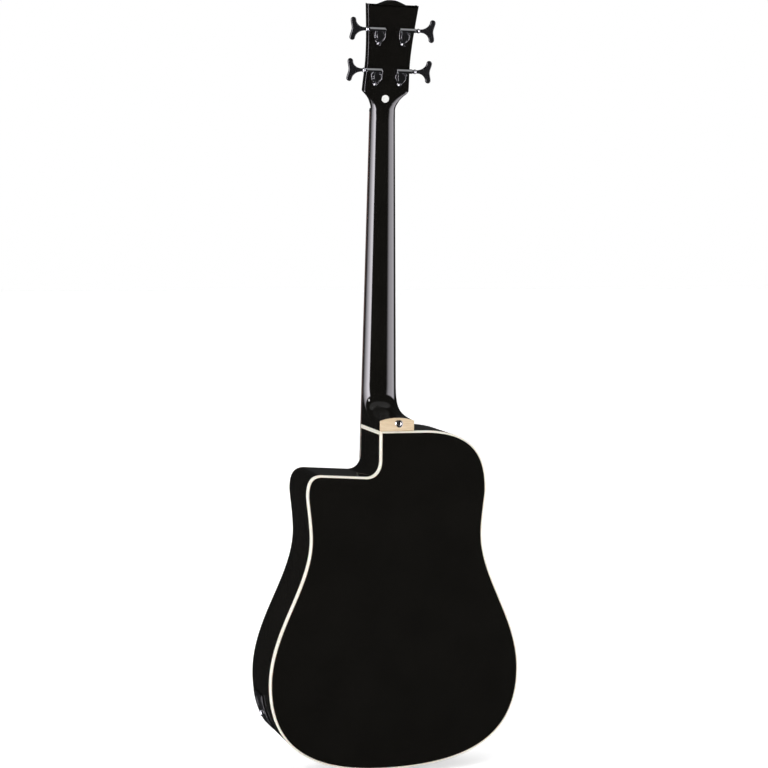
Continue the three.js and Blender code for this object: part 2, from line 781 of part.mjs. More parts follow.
function heelRows() {
  const start = bodyTop + heelRun;
  const back = point(heelEnd, bodyTop + heelCentreHeight);
  const edge = point(heelEnd, bodyTop + heelSideHeight);
  const sweep = (from, to, [startShare, depthShare, heightShare]) => bend(
    from,
    point(0, startShare * (to.y - from.y)),
    to,
    point(depthShare * (from.x - to.x), heightShare * (from.y - to.y)),
    heelSteps,
  );
  const backs = sweep(point(neckDepthAtHeel, start), back, heelCentrePullShares);
  const edges = sweep(point(neckEdge, start), edge, heelSidePullShares);
  const onBoard = (i) => point(0, THREE.MathUtils.lerp(start, heelFace, i / heelTurnStep));
  const onBody = (i) => point(heelEnd * (i - heelTurnStep) / (heelSteps - heelTurnStep), heelFace);
  return backs.map((place, i) => {
    const base = i < heelTurnStep ? onBoard(i) : onBody(i);
    const power = THREE.MathUtils.lerp(neckPower, heelPower, i / heelSteps);
    const sharpness = THREE.MathUtils.lerp(neckPower, heelSharpness, i / heelSteps);
    const share = (place.x - neckDepthAtHeel) / (heelEnd - neckDepthAtHeel);
    const baseShare = base.x / heelEnd;
    const half = THREE.MathUtils.lerp(neckHalf(edges[i].y), capWidth / 2, share);
    const baseHalf = THREE.MathUtils.lerp(neckHalf(base.y), capWidth / 2, baseShare);
    const shifts = [capShift * baseShare, capShift * share];
    return neckRow(base, edges[i], place, baseHalf, half, power, sharpness, ...shifts);
  });
}

function neck() {
  const nutRow = neckRow(
    point(0, 0),
    point(neckEdge, 0),
    point(neckDepthAtNut, 0),
    nutWidth / 2,
    nutWidth / 2,
    neckPower,
    neckPower,
  );
  const shaft = loft([...footRows(), nutRow, ...heelRows()]);
  const holes = tuners.map(([hand, height]) => roundY(
    hand * tunerSpread / 2,
    height,
    barrelRadius + seam,
    -overrun,
    headThickness + overrun,
    roundSides,
    headFrame,
  ));
  const screw = roundY(capShift, heelButtonHeight, buttonScrewRadius + seam,
    depthAtHeel - buttonScrewLength - seam, depthAtHeel + overrun, smallSides);
  return shaft
    .add(slab(headShape(), 0, headThickness, headFrame))
    .add(tenon(0, heelFace + overrun))
    .subtract(joined([...holes, screw, rodChannel()]));
}

// The truss rod lies in a channel under the fretboard, with its nut in a pocket behind the string nut.
function rodChannel() {
  const foot = bodyTop + rodMargin;
  const head = nutThickness + rodNutLength;
  const slot = rodRadius + seam;
  const pocket = rodNutRadius + seam;
  return box([-slot, slot], [-overrun, rodCentre + slot], [foot, head])
    .add(box([-pocket, pocket], [-overrun, rodCentre + pocket], [nutThickness, head + overrun]));
}

function trussRod() {
  const profile = [
    [0, bodyTop + rodMargin + seam],
    [rodRadius, bodyTop + rodMargin + seam],
    [rodRadius, nutThickness + 2 * seam],
    [rodNutRadius, nutThickness + 2 * seam],
    [rodNutRadius, nutThickness + rodNutLength],
    [0, nutThickness + rodNutLength],
  ];
  const upright = new THREE.Matrix4().makeRotationX(quarterTurn).setPosition(0, rodCentre, 0);
  return turned(profile, smallSides, upright);
}

function heelCap() {
  const row = heelRows().at(-1);
  const outline = new THREE.Shape(row.map((place) => point(place.x, place.z)));
  const depths = [heelEnd - overrun, depthAtHeel + overrun];
  const screw = roundY(capShift, heelButtonHeight, buttonScrewRadius + seam, ...depths, smallSides);
  return slab(outline, heelEnd, depthAtHeel).subtract(screw);
}

function strapButton(matrix) {
  const top = buttonShares.map(([wide, high]) => [
    wide * buttonRadius,
    seam + high * (buttonHeight - seam),
  ]);
  const screw = [
    [0, -buttonScrewLength],
    [buttonScrewRadius, -buttonScrewLength],
    [buttonScrewRadius, seam],
  ];
  return turned([...screw, ...top, [0, buttonHeight]], roundSides, matrix);
}

// The fretboard's playing face across its width, raised by a lift.
function boardFace(z, half, lift) {
  return boardShares.map((across) => {
    const drop = (half * across) ** 2 / (2 * boardRadius);
    return new THREE.Vector3(half * across, drop - boardThickness - lift, z);
  });
}

// The board ends short of the soundhole, and carries the frets that leave a margin there.
const boardEnd = soundholeZ + soundholeRadius + soundholeGap;
const beyondFrets = scaleLength + boardEnd + fretMargin;
const fretCount = Math.floor(fretsPerOctave * Math.log2(scaleLength / beyondFrets));

function fretboard() {
  const boardRow = (z) => {
    const half = neckHalf(z);
    return [new THREE.Vector3(half, 0, z), ...boardFace(z, half, 0), new THREE.Vector3(-half, 0, z)];
  };
  const fretRow = (z) => {
    const half = neckHalf(z) - fretInset;
    return [...boardFace(z, half, fretHeight), ...boardFace(z, half, -fretRoot).reverse()];
  };
  const frets = Array.from({ length: fretCount }, (_, i) => {
    const z = -fretPlace(i + 1);
    return loft([fretRow(z + fretWidth / 2), fretRow(z - fretWidth / 2)]);
  });
  return joined([loft([boardRow(0), boardRow(boardEnd)]), ...frets]);
}

// The undersides of the strings at the nut, and the floors of their slots
const stringsAtNut = -boardThickness - fretHeight - stringLift;

function nut() {
  const edge = nutWidth / 2;
  const slots = stringRadii.flatMap((radius, i) => {
    const x = fromMiddle(i) * nutSpacing;
    const half = radius + seam;
    const floor = stringsAtNut + seam;
    return [
      point(x + half, -nutHeight),
      point(x + half, floor),
      point(x - half, floor),
      point(x - half, -nutHeight),
    ];
  });
  const side = [point(edge, 0), point(edge, -nutHeight)];
  const farSide = [point(-edge, -nutHeight), point(-edge, 0)];
  const shape = new THREE.Shape([...side, ...slots, ...farSide]);
  return solid(new THREE.ExtrudeGeometry(shape, { depth: nutThickness, bevelEnabled: false }));
}

// A path of straight runs, with one ring of a tube at each corner.
class CornerPath extends THREE.Curve {
  constructor(places) {
    super();
    this.places = places;
  }

  getPoint(share, target = new THREE.Vector3()) {
    const place = share * (this.places.length - 1);
    const index = Math.min(Math.floor(place), this.places.length - 2);
    return target.lerpVectors(this.places[index], this.places[index + 1], place - index);
  }

  getUtoTmapping(share) {
    return share;
  }
}

// A string, from its post over nut and saddle down to the ball under the bridge plate.
function guitarString(i) {
  const radius = stringRadii[i];
  const [hand, height] = tuners[i];
  const nutX = fromMiddle(i) * nutSpacing;
  const saddleX = fromMiddle(i) * stringSpacing;
  const nutY = stringsAtNut - radius;
  const saddleY = -bridgeHeight - saddleRise - seam - radius;
  const ballY = topThickness + plateThickness + seam + ballRadius;
  const postX = hand * (tunerSpread / 2 - postRadius - seam - radius);
  const path = new CornerPath([
    new THREE.Vector3(postX, -stringOnPost, height).applyMatrix4(headFrame),
    new THREE.Vector3(nutX, nutY, nutThickness + radius),
    new THREE.Vector3(nutX, nutY, -radius),
    new THREE.Vector3(saddleX, saddleY, saddleZ + saddleWidth / 2),
    new THREE.Vector3(saddleX, saddleY, saddleZ - saddleWidth / 2 - radius),
    new THREE.Vector3(saddleX, -bridgeHeight - seam - radius, stringDropZ),
    new THREE.Vector3(saddleX, ballY, stringDropZ),
  ]);
  const section = new THREE.Shape(new THREE.EllipseCurve(0, 0, radius, radius).getPoints(stringSides));
  const tube = new THREE.ExtrudeGeometry(section, { extrudePath: path, steps: path.places.length - 1 });
  const ball = new THREE.SphereGeometry(ballRadius, smallSides, smallSides / 2);
  return solid(tube).add(solid(ball.translate(saddleX, ballY, stringDropZ)));
}

// Cover and label on the headstock, in its own frame
function trussCover() {
  const foot = point(coverWidth / 2, coverStart);
  const tip = point(coverTipWidth / 2, coverStart + coverLength - coverTipWidth / 2);
  const rise = point(0, (tip.y - foot.y) / 2);
  const end = point(0, coverStart + coverLength);
  const curve = chain(
    bend(foot, rise, tip, rise.clone().negate(), 6),
    bend(tip, point(0, cornerPullShare * (end.y - tip.y)), end, point(cornerPullShare * tip.x, 0), 4),
  );
  return slab(new THREE.Shape(chain(curve, mirrored(curve))), -seam - coverThickness, -seam);
}

function label() {
  const front = headThickness + seam;
  return roundY(0, labelPlace, labelRadius, front, front + labelThickness, labelSides);
}

// A machine head, with its post along Y: X out to the key, Y out of the headstock's back.
const housingBack = headThickness + seam;
const gearFront = housingBack + housingFloor + seam;
const gearBack = gearFront + gearThickness;
const wormDepth = (gearFront + gearBack) / 2;

function tunerHousing(flip) {
  const top = housingBack + housingHeight;
  const lug = [-housingLugRadius, housingLugRadius];
  const floor = housingBack + housingFloor;
  const body = joined([
    roundY(0, 0, housingRadius, housingBack, top, roundSides, flip),
    box([-barInner, housingRadius], [housingBack, wormDepth], [0, wormRise], flip),
    roundX(wormDepth, wormRise, chamberRadius, -barInner, housingRadius, roundSides, flip),
    roundX(wormDepth, wormRise, barRadius, 0, barOuter, roundSides, flip),
    roundY(0, 0, housingCapRadius, top - seam, top + housingCapHeight, roundSides, flip),
    box(lug, [housingBack, floor], [-housingLugDrop, 0], flip),
    roundY(0, -housingLugDrop, housingLugRadius, housingBack, floor, smallSides, flip),
    roundY(0, -housingLugDrop, lugScrewRadius, housingBack, floor + lugScrewHeight, smallSides, flip),
    roundY(0, 0, barrelRadius, -seam - flangeThickness, floor, roundSides, flip),
    roundY(0, 0, flangeRadius, -seam - flangeThickness, -seam, roundSides, flip),
  ]);
  const cavity = joined([
    roundY(0, 0, postRadius + seam, -overrun, gearBack, roundSides, flip),
    roundY(0, 0, gearRadius + gearClearance, gearFront - seam, gearBack + seam, roundSides, flip),
    roundX(wormDepth, wormRise, wormRadius + seam, -wormHalf - seam, wormHalf + seam, smallSides, flip),
    roundX(wormDepth, wormRise, shaftRadius + seam, 0, barOuter + overrun, smallSides, flip),
  ]);
  return body.subtract(cavity);
}

function tunerPost(flip) {
  const tip = -postHeight;
  const seat = -stringOnPost;
  const profile = [
    [0, gearBack],
    [gearRadius, gearBack],
    [gearRadius, gearFront],
    [postRadius, gearFront],
    [postRadius, seat + postRadius],
    [postWaistRadius, seat],
    [postRadius, seat - postRadius],
    [postRadius, tip],
    [0, tip],
  ];
  const slot = box(
    [-postSlotWidth / 2, postSlotWidth / 2],
    [tip - overrun, tip + postSlotDepth],
    [-postRadius - overrun, postRadius + overrun],
    flip,
  );
  return turned(profile, roundSides, flip).subtract(slot);
}

// The key's plate, drawn along the shaft: a stem, two lobes and a hollow outer edge.
function keyShape() {
  const stem = barOuter + keyCollarLength;
  const lobe = point(stem + keyReach - keyLobeRadius, keyHeight / 2 - keyLobeRadius);
  const neckEnd = point(stem + keyStemShare * keyReach, keyStemHalf);
  const inner = point(lobe.x - keyLobeRadius, lobe.y);
  const arc = new THREE.EllipseCurve(lobe.x, lobe.y, keyLobeRadius, keyLobeRadius, Math.PI, 0, true);
  const round = arc.getPoints(keyLobeSteps);
  const hollow = point(stem + keyReach * (1 - keyHollowShare), 0);
  const [along, up] = keySwellShares;
  const leave = point(along * (inner.x - neckEnd.x), 0);
  const arrive = point(0, up * (neckEnd.y - inner.y));
  const swell = bend(neckEnd, leave, inner, arrive, keySwellSteps);
  const half = [point(stem, keyStemHalf), ...swell, ...round.slice(1), hollow];
  const other = half.slice(0, -1).map((place) => point(place.x, -place.y)).reverse();
  return new THREE.Shape([...half, ...other]);
}

function tunerKey(flip) {
  const shift = new THREE.Matrix4().makeTranslation(0, 0, wormRise).premultiply(flip);
  const plate = slab(keyShape(), wormDepth - keyThickness / 2, wormDepth + keyThickness / 2, shift);
  const collar = [barOuter + seam, barOuter + seam + keyCollarLength];
  return joined([
    roundX(wormDepth, wormRise, wormRadius, -wormHalf, wormHalf, smallSides, flip),
    roundX(wormDepth, wormRise, shaftRadius, 0, collar[1], smallSides, flip),
    roundX(wormDepth, wormRise, keyCollarRadius, ...collar, roundSides, flip),
    plate,
  ]);
}

// The preamp in the bass side: a curved face plate, a box behind it and three knobs.
const preampZ = alongBody(preampPlaceShare);
const preampY = preampMiddleShare * depthAtHeel;
const knobHeights = [1, 0, -1].map((step) => preampZ + step * knobSpacing);
const knobFrame = (height) => sideFrame(bassRun, height, preampY);
const preampFace = seam + preampThickness;

function plateOnSide(path, from, to, thickness, front, back) {
  const run = stretch(path, from, to);
  const outer = inset(run, -seam - thickness, false);
  return wall(outer, inset(run, -seam, false), () => front, () => back, false);
}

// The room for a nut or knob on a bent plate, from a height above the side.
function spotFace(radius, height, frame) {
  return roundX(0, 0, radius + seam, height, height + overrun, roundSides, frame);
}

function preampBox(gap, front) {
  const wide = preampWidth / 2 - preampMargin + gap;
  const long = preampLength / 2 - preampMargin + gap;
  return box([-preampDepth, front], [-wide, wide], [-long, long], sideFrame(bassRun, preampZ, preampY));
}

const preampWindow = () => preampBox(seam, preampThickness + overrun);

function preampHousing() {
  const ends = [preampZ + preampLength / 2, preampZ - preampLength / 2];
  const depths = [preampY - preampWidth / 2, preampY + preampWidth / 2];
  const plate = plateOnSide(bassRun, ...ends, preampThickness, ...depths);
  const bore = [knobShaftRadius + seam, -knobShaftLength - seam, preampFace + overrun, smallSides];
  const holes = knobHeights.map(knobFrame).map((frame) => (
    roundX(0, 0, ...bore, frame).add(spotFace(knobRadius, preampFace + knobGap - seam, frame))
  ));
  return plate.add(preampBox(0, seam + preampThickness / 2)).subtract(joined(holes));
}

function preampKnob() {
  const foot = preampFace + knobGap;
  return roundX(0, 0, knobRadius, foot, foot + knobHeight)
    .add(roundX(0, 0, knobShaftRadius, -knobShaftLength, foot + seam, smallSides));
}

// The plate on the treble side with the battery's sleeve behind it, and the output jack below.
const jackPlateZ = bodyTail + jackPlateRise;
const batteryFrame = sideFrame(trebleRun, jackPlateZ + batteryRise, batteryDepth);
const jackPlace = sideFrame(trebleRun, jackPlateZ - jackDrop, jackDepth);
const jackFrame = batteryFrame.clone().copyPosition(jackPlace);
const plateFace = seam + jackPlateThickness;
const trayFoot = plateFace - trayDoor - 2 * seam - batteryLength - trayWall;
const trayHalfDepth = batteryWidth / 2 + seam + trayWall;
const trayHalfHeight = batteryThickness / 2 + seam + trayWall;

const around = (half) => [-half, half];

function trayBox(gap, foot, face) {
  return box([foot, face], around(trayHalfDepth + gap), around(trayHalfHeight + gap), batteryFrame);
}

function sleeve(gap) {
  const grown = seam + trayWall + gap;
  return trayBox(grown, trayFoot - grown, jackPlateThickness / 2);
}

function jackHole() {
  const ends = [-jackBodyLength, overrun + plateFace];
  return roundX(0, 0, jackTubeRadius + seam, ...ends, roundSides, jackFrame)
    .add(spotFace(jackNutRadius, plateFace + seam / 2, jackFrame));
}

function jackPlate() {
  const ends = [jackPlateZ - jackPlateLength / 2, jackPlateZ + jackPlateLength / 2];
  const depths = [jackPlateFront, jackPlateFront + jackPlateWidth];
  const plate = plateOnSide(trebleRun, ...ends, jackPlateThickness, ...depths);
  const mouth = trayBox(seam, trayFoot - seam, plateFace + overrun);
  return plate.add(sleeve(0)).subtract(mouth).subtract(jackHole());
}

function batteryTray() {
  const pocket = box(
    [trayFoot + trayWall, plateFace - trayDoor],
    around(batteryWidth / 2 + seam),
    [-batteryThickness / 2 - seam, trayHalfHeight + overrun],
  );
  return box([trayFoot, plateFace], around(trayHalfDepth), around(trayHalfHeight)).subtract(pocket);
}

function battery() {
  const foot = trayFoot + trayWall + seam;
  return box([foot, foot + batteryLength], around(batteryWidth / 2), around(batteryThickness / 2));
}

function outputJack() {
  const inner = -sideThickness - jackBodyGap;
  const seat = plateFace + seam;
  const lip = seat + jackNutThickness + jackTubeStandout;
  const profile = [
    [0, inner - jackBodyLength],
    [jackBodyRadius, inner - jackBodyLength],
    [jackBodyRadius, inner],
    [jackTubeRadius, inner],
    [jackTubeRadius, seat],
    [jackNutRadius, seat],
    [jackNutRadius, seat + jackNutThickness],
    [jackTubeRadius, seat + jackNutThickness],
    [jackTubeRadius, lip],
    [jackBoreRadius, lip],
    [jackBoreRadius, inner - jackBodyLength + jackFloor],
    [0, inner - jackBodyLength + jackFloor],
  ];
  return turned(profile, roundSides, new THREE.Matrix4().makeRotationZ(-quarterTurn));
}

// Colours and finishes
function paint(color, roughness, metalness = 0) {
  return new THREE.MeshStandardMaterial({ color, roughness, metalness });
}

const blackGloss = () => paint(0x121110, 0.12);
const cream = () => paint(0xf2efe2, 0.3);
const tan = () => paint(0xe4cda9, 0.35);
const spruce = () => paint(0xd8bd8e, 0.7);
const mahogany = () => paint(0x8a5a3b, 0.7);
const rosewood = () => paint(0x2c1c15, 0.5);
const bone = () => paint(0xefe8d6, 0.4);
const chrome = () => paint(0xc9cacd, 0.15, 1);
const blackChrome = () => paint(0x17171a, 0.2, 0.9);
const blackPlastic = () => paint(0x151515, 0.35);
const bronze = () => paint(0xb98d54, 0.35, 1);
const steel = () => paint(0x9a9c9f, 0.4, 1);
const paper = () => paint(0xf3f3f0, 0.6);

const guitar = new THREE.Group();

function add(name, body, material, parent = guitar) {
  const mesh = new THREE.Mesh(toGeometry(body), material);
  mesh.name = name;
  parent.add(mesh);
}

function addBody() {
  add('soundboard', soundboard(), blackGloss());
  add('back_plate', backPlate(), blackGloss());
  add('bass_side', bassSide(), blackGloss());
  add('treble_side', trebleSide(), blackGloss());
  add('top_binding', topBinding(), cream());
  add('back_binding', backBinding(), cream());
  add('top_lining', topLining(), spruce());
  add('back_lining', backLining(), spruce());
  add('neck_block', neckBlock(), mahogany());
  add('tail_block', tailBlock(), mahogany());
  add('cross_brace', crossBrace(), spruce());
  add('transverse_brace', topBrace(alongBody(transversePlaceShare), 0), spruce());
  tonePlaceShares.forEach((share, i) => {
    add(`tone_bar_${i + 1}`, toneBar(share), spruce());
  });
  const wood = underArch();
  backBracePlaceShares.forEach((share, i) => {
    add(`back_brace_${i + 1}`, backBrace(alongBody(share), wood), spruce());
  });
  add('bridge_plate', bridgePlate(), mahogany());
  add('rosette', rosette(), cream());
}

function addNeck() {
  add('neck', neck(), blackGloss());
  add('heel_cap', heelCap(), tan());
  add('truss_rod', trussRod(), steel());
  add('fretboard', fretboard(), rosewood());
  add('nut', nut(), blackPlastic());
  const buttonPlace = new THREE.Matrix4().makeTranslation(capShift, depthAtHeel, heelButtonHeight);
  add('heel_strap_button', strapButton(buttonPlace), chrome());
  add('tail_strap_button', strapButton(toTail), chrome());
}

function addStrings() {
  add('bridge', bridge(), rosewood());
  add('saddle', saddle(), bone());
  add('saddle_pickup', saddlePickup(), steel());
  stringRadii.forEach((radius, i) => {
    add(`bridge_pin_${i + 1}`, bridgePin(i), bone());
    add(`string_${i + 1}`, guitarString(i), bronze());
  });
}

function addHeadstock() {
  const head = new THREE.Group();
  head.position.set(0, 0, nutThickness);
  head.rotation.x = -headTilt;
  guitar.add(head);
  add('truss_rod_cover', trussCover(), blackPlastic(), head);
  add('headstock_label', label(), paper(), head);
  tuners.forEach(([hand, height], i) => {
    const tuner = new THREE.Group();
    tuner.position.set(hand * tunerSpread / 2, 0, height);
    head.add(tuner);
    const flip = new THREE.Matrix4().makeScale(hand, 1, 1);
    add(`tuner_${i + 1}_housing`, tunerHousing(flip), chrome(), tuner);
    add(`tuner_${i + 1}_post`, tunerPost(flip), chrome(), tuner);
    add(`tuner_${i + 1}_key`, tunerKey(flip), blackChrome(), tuner);
  });
}

function placed(frame) {
  const group = new THREE.Group();
  group.applyMatrix4(frame);
  guitar.add(group);
  return group;
}

function addElectronics() {
  add('preamp_housing', preampHousing(), blackPlastic());
  ['volume_knob', 'bass_knob', 'treble_knob'].forEach((name, i) => {
    add(name, preampKnob(), blackPlastic(), placed(knobFrame(knobHeights[i])));
  });
  add('jack_plate', jackPlate(), blackPlastic());
  const bay = placed(batteryFrame);
  add('battery_tray', batteryTray(), blackPlastic(), bay);
  add('battery', battery(), steel(), bay);
  add('output_jack', outputJack(), chrome(), placed(jackFrame));
}

addBody();
addNeck();
addStrings();
addHeadstock();
addElectronics();

export default guitar;
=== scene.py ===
"""An acoustic bass guitar in black lacquer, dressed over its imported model. Sizes are in millimetres."""

import json
import math

import bmesh
import bpy
import numpy as np
from bpy.props import FloatProperty, FloatVectorProperty, IntProperty, PointerProperty
from mathutils import Matrix, Vector


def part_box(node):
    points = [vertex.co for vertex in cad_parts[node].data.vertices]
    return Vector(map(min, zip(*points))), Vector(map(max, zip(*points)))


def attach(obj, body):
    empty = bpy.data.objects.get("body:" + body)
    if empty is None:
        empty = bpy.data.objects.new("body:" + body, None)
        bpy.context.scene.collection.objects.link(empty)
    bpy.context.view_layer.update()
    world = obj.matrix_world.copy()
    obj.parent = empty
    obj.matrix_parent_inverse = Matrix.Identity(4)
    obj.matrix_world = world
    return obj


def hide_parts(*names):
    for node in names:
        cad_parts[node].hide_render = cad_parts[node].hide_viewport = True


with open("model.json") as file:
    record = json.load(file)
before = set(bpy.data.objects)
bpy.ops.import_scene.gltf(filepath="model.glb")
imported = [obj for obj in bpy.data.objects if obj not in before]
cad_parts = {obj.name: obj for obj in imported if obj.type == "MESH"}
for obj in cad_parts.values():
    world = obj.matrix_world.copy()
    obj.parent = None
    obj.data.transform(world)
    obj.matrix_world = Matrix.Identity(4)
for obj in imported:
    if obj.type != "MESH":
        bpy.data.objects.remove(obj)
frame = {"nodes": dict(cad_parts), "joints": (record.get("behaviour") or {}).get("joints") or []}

bl_info = {
    "name": "Acoustic bass guitar",
    "version": (1, 0, 0),
    "blender": (4, 5, 0),
    "location": "View3D > Sidebar > Bass guitar",
    "description": "Builds the finished surfaces of an acoustic bass guitar",
    "category": "Add Mesh",
}

MM = 0.001
ROOT = "instrument"

# Scale, neck and fretboard
SCALE_LENGTH = 863.6
FRET_COUNT = 20
NUT_WIDTH = 38
HEEL_WIDTH = 55
NECK_DEPTH_AT_NUT = 15
NECK_DEPTH_AT_HEEL = 18
NECK_EDGE = 1.2
BOARD_THICKNESS = 6.5
BOARD_RADIUS = 400
FRET_HEIGHT = 1.1
FRET_WIDTH = 2.4
FRET_INSET = 0.6
NUT_THICKNESS = 5
NUT_HEIGHT = 10
NUT_STRING_MARGIN = 4.5
SLOT_CLEARANCE = 0.12
NUT_FALL = ((0, 1), (0.5, 0.75), (1, 0.3))
SEAM = 0.3

# Body
BODY_LENGTH = 517
BRIDGE_PLACE = 0.7441
SOUNDHOLE_PLACE = 0.3417
LOWER_WIDTH = 399
WAIST_WIDTH = 274
UPPER_WIDTH = 285.8
DEPTH_AT_HEEL = 96.1
DEPTH_AT_TAIL = 105.4
BACK_SWELL = 3.42
TOP_THICKNESS = 2.8
BACK_THICKNESS = 2.6
SIDE_THICKNESS = 3
BINDING_WIDTH = 2.7
TOP_BINDING_HEIGHT = 2.2
BACK_BINDING_HEIGHT = 6.5
CORNER_STRIP = 5.5
SHOULDER_REACH = 46
SHOULDER_DROP = 0.8
SHELF_PLACE = 0.1321
SHELF_RISE = 5
WALL_CLEARANCE = 1.2
CORNER_WIDTH = 21
CORNER_HEIGHT = 0.0484 * BODY_LENGTH
HORN_WIDTH = 22
PLACES = {"upper": 0.1822, "waist": 0.3096, "lower": 0.7268}
TAIL_PULLS = (0.5, 0.84)
LOWER_PULLS = (0.38, 0.33)
WAIST_PULLS = (0.37, 0.15)
SHOULDER_PULLS = (0.53, 0.82)
SHOULDER_SLOPE = 0.044
HORN_PULL = 0.7
CORNER_PULL = 0.62
DOME_CENTRE = 0.5436
SOUNDHOLE_RADIUS = 50
SOUNDHOLE_GAP = 6
ROSETTE_GAP = 4
ROSETTE_WIDTHS = (0.8, 1.0, 4.4, 1.0, 0.8)

# Heel and strap buttons
HEEL_RUN = 67
HEEL_CENTRE = 19.6
HEEL_SIDE = 15.3
HEEL_BUTTON = 0.61
CAP_THICKNESS = 5
CAP_WIDTH = 52.8
CAP_SHIFT = 2.2
NECK_POWER = 2.4
HEEL_POWER = 2
HEEL_SHARPNESS = 1.15
HEEL_CENTRE_PULLS = (0.88, 0.72, 0.02)
HEEL_SIDE_PULLS = (0.82, 0.82, 0.04)
BUTTON_RADIUS = 5.6
BUTTON_HEIGHT = 10

# Headstock
HEAD_TILT = math.radians(12.2)
HEAD_THICKNESS = 13.5
HEAD_LENGTH = 163.4
HEAD_TOP = 80.4
HEAD_WAIST_WIDTH = 67.8
HEAD_FOOT_WIDTH = 71
HEAD_FOOT = 28
HEAD_WAIST = 70
CREST_DIP = 8
HEAD_SIDE_PULL = 0.33
HEAD_FLARE = 0.1
HEAD_FLAT = 0.3
CREST = ((1, 0.72), (0.87, 0.95), (0.72, 1), (0.55, 0.8), (0.37, 0.43), (0.2, 0.1), (0, 0))
FOOT = (
    (0, 0, 2.7),
    (0.15, 0.05, 3),
    (0.3, 0.15, 3.5),
    (0.52, 0.33, 4.8),
    (0.74, 0.64, 7),
    (0.95, 0.99, 11),
    (1.1, 1, 12),
)
TURN_IN = 14
TURN_OUT = 12
LABEL_RADIUS = 5.8
LABEL_SHIFT = 1.2
LABEL_PLACE = 16.8

# Machine heads
TUNER_SPREAD = 38.6
TUNERS = ((1, 50.1), (1, 111.3), (-1, 111.3), (-1, 50.1))
WORM_RISE = 9.8
HOUSING_RADIUS = 8.2
HOUSING_FLOOR = 1.8
BAR_RADIUS = 2.9
BAR_INNER = 7.6
BAR_OUTER = 20
BAR_CHAMFER = 2.3
SHIELD_RISE = 5.2
SHIELD_FOOT = 8
GEAR_CAP_RADIUS = 6.4
GEAR_CAP_HEIGHT = 9.6
LUG_RADIUS = 3.4
LUG_DROP = 11.4
LUG_SCREW_DROP = 11.6
FLANGE_RADIUS = 9
SLEEVE_RADIUS = 6.2
FLANGE_THICKNESS = 2.4
POST_RADIUS = 4.5
POST_WAIST = 3.9
POST_HEIGHT = 22
POST_SLOT_WIDTH = 2.8
POST_SLOT_DEPTH = 8
STRING_ON_POST = 11
KEY_COLLAR_RADIUS = 3.5
KEY_COLLAR = 2.2
KEY_REACH = 25.3
KEY_HEIGHT = 34
KEY_THICKNESS = 5
KEY_LOBE = 4

# Bridge and strings
BRIDGE_LENGTH = 150
BRIDGE_WIDTH = 44
BRIDGE_HEIGHT = 9
BRIDGE_DROP = 11.5
SADDLE_SETBACK = 2.5
SADDLE_WIDTH = 3.2
SADDLE_LENGTH = 84
SADDLE_RISE = 4.7
PIN_SETBACK = 15.5
PIN_HEAD_RADIUS = 4.2
PIN_HEAD_HEIGHT = 3.6
STRING_SPACING = 19
STRING_RADII = (0.65, 0.9, 1.1, 1.35)
STRING_LIFT = 0.6
STRING_BEND = 2.5
STRING_TURNS = 2.5
STRING_COUNT = len(STRING_RADII)
NUT_SPACING = (NUT_WIDTH - 2 * NUT_STRING_MARGIN) / (STRING_COUNT - 1)

# Plates on the sides
PREAMP_PLACE = 0.2341
PREAMP_LENGTH = 84
PREAMP_WIDTH = 46
PREAMP_THICKNESS = 2.5
KNOB_RADIUS = 7.5
KNOB_HEIGHT = 9
KNOB_GAP = 0.9
KNOB_RIBS = 24
DIAL_MARKS = 11
DIAL_SWEEP = 280
JACK_PLATE_RISE = 89.8
JACK_PLATE_LENGTH = 51
JACK_PLATE_FRONT = 10
JACK_PLATE_WIDTH = 47
JACK_PLATE_THICKNESS = 2.4
BATTERY_RISE = 12.5
BATTERY_DEPTH = 37.5
JACK_DROP = 7
JACK_DEPTH = 30
JACK_RADIUS = 4.5
PLUG_RADIUS = 3.3

# Half sizes of the openings and boxes on the sides, along the depth and along the body
PREAMP_HOLE = (16.3, 35.1)
PREAMP_BOX = (16, 35)
PREAMP_BOX_DEPTH = 32
SIDE_HOLE = (16.55, 11.55)
PLATE_HOLE = (15.05, 10.05)
SLEEVE_OUTSIDE = (16.25, 11.75)
SLEEVE_INSIDE = (15.05, 10.55)
SLEEVE_DEPTH = 54.6
SLEEVE_FLOOR = 1.5

# How finely curves are drawn: the outline as a multiple of the model's own steps, the others in steps
FINE = 5
ROUND = 48
NECK_STEPS = 60
BOARD_STEPS = 16

BODY_TOP = BRIDGE_PLACE * BODY_LENGTH - SCALE_LENGTH
BODY_TAIL = BODY_TOP - BODY_LENGTH
WALL_X = HEEL_WIDTH / 2 + WALL_CLEARANCE
RAIL_INSET = max(SIDE_THICKNESS, BINDING_WIDTH) + SEAM
SOUNDHOLE_Z = BODY_TOP - SOUNDHOLE_PLACE * BODY_LENGTH
BOARD_END = SOUNDHOLE_Z + SOUNDHOLE_RADIUS + SOUNDHOLE_GAP
HEEL_FACE = BODY_TOP + SEAM
HEEL_END = DEPTH_AT_HEEL - CAP_THICKNESS
SADDLE_Z = -SCALE_LENGTH - SADDLE_SETBACK
PIN_Z = SADDLE_Z - PIN_SETBACK


# Plane curves. A point is (x, z) or (depth, height).
def pair(a, b):
    return np.array((a, b), float)


def bend(start, start_pull, end, end_pull, steps):
    t = np.linspace(0, 1, steps + 1)[:, None]
    a, b = start + start_pull, end + end_pull
    return (1 - t) ** 3 * start + 3 * t * (1 - t) ** 2 * a + 3 * t**2 * (1 - t) * b + t**3 * end


def chain(*runs):
    return np.concatenate([run[1:] if i else run for i, run in enumerate(runs)])


def mirrored(run):
    return (run * (-1, 1))[::-1]


def mix(a, b, share):
    return a + (b - a) * share


def around(middle, half):
    return middle - half, middle + half


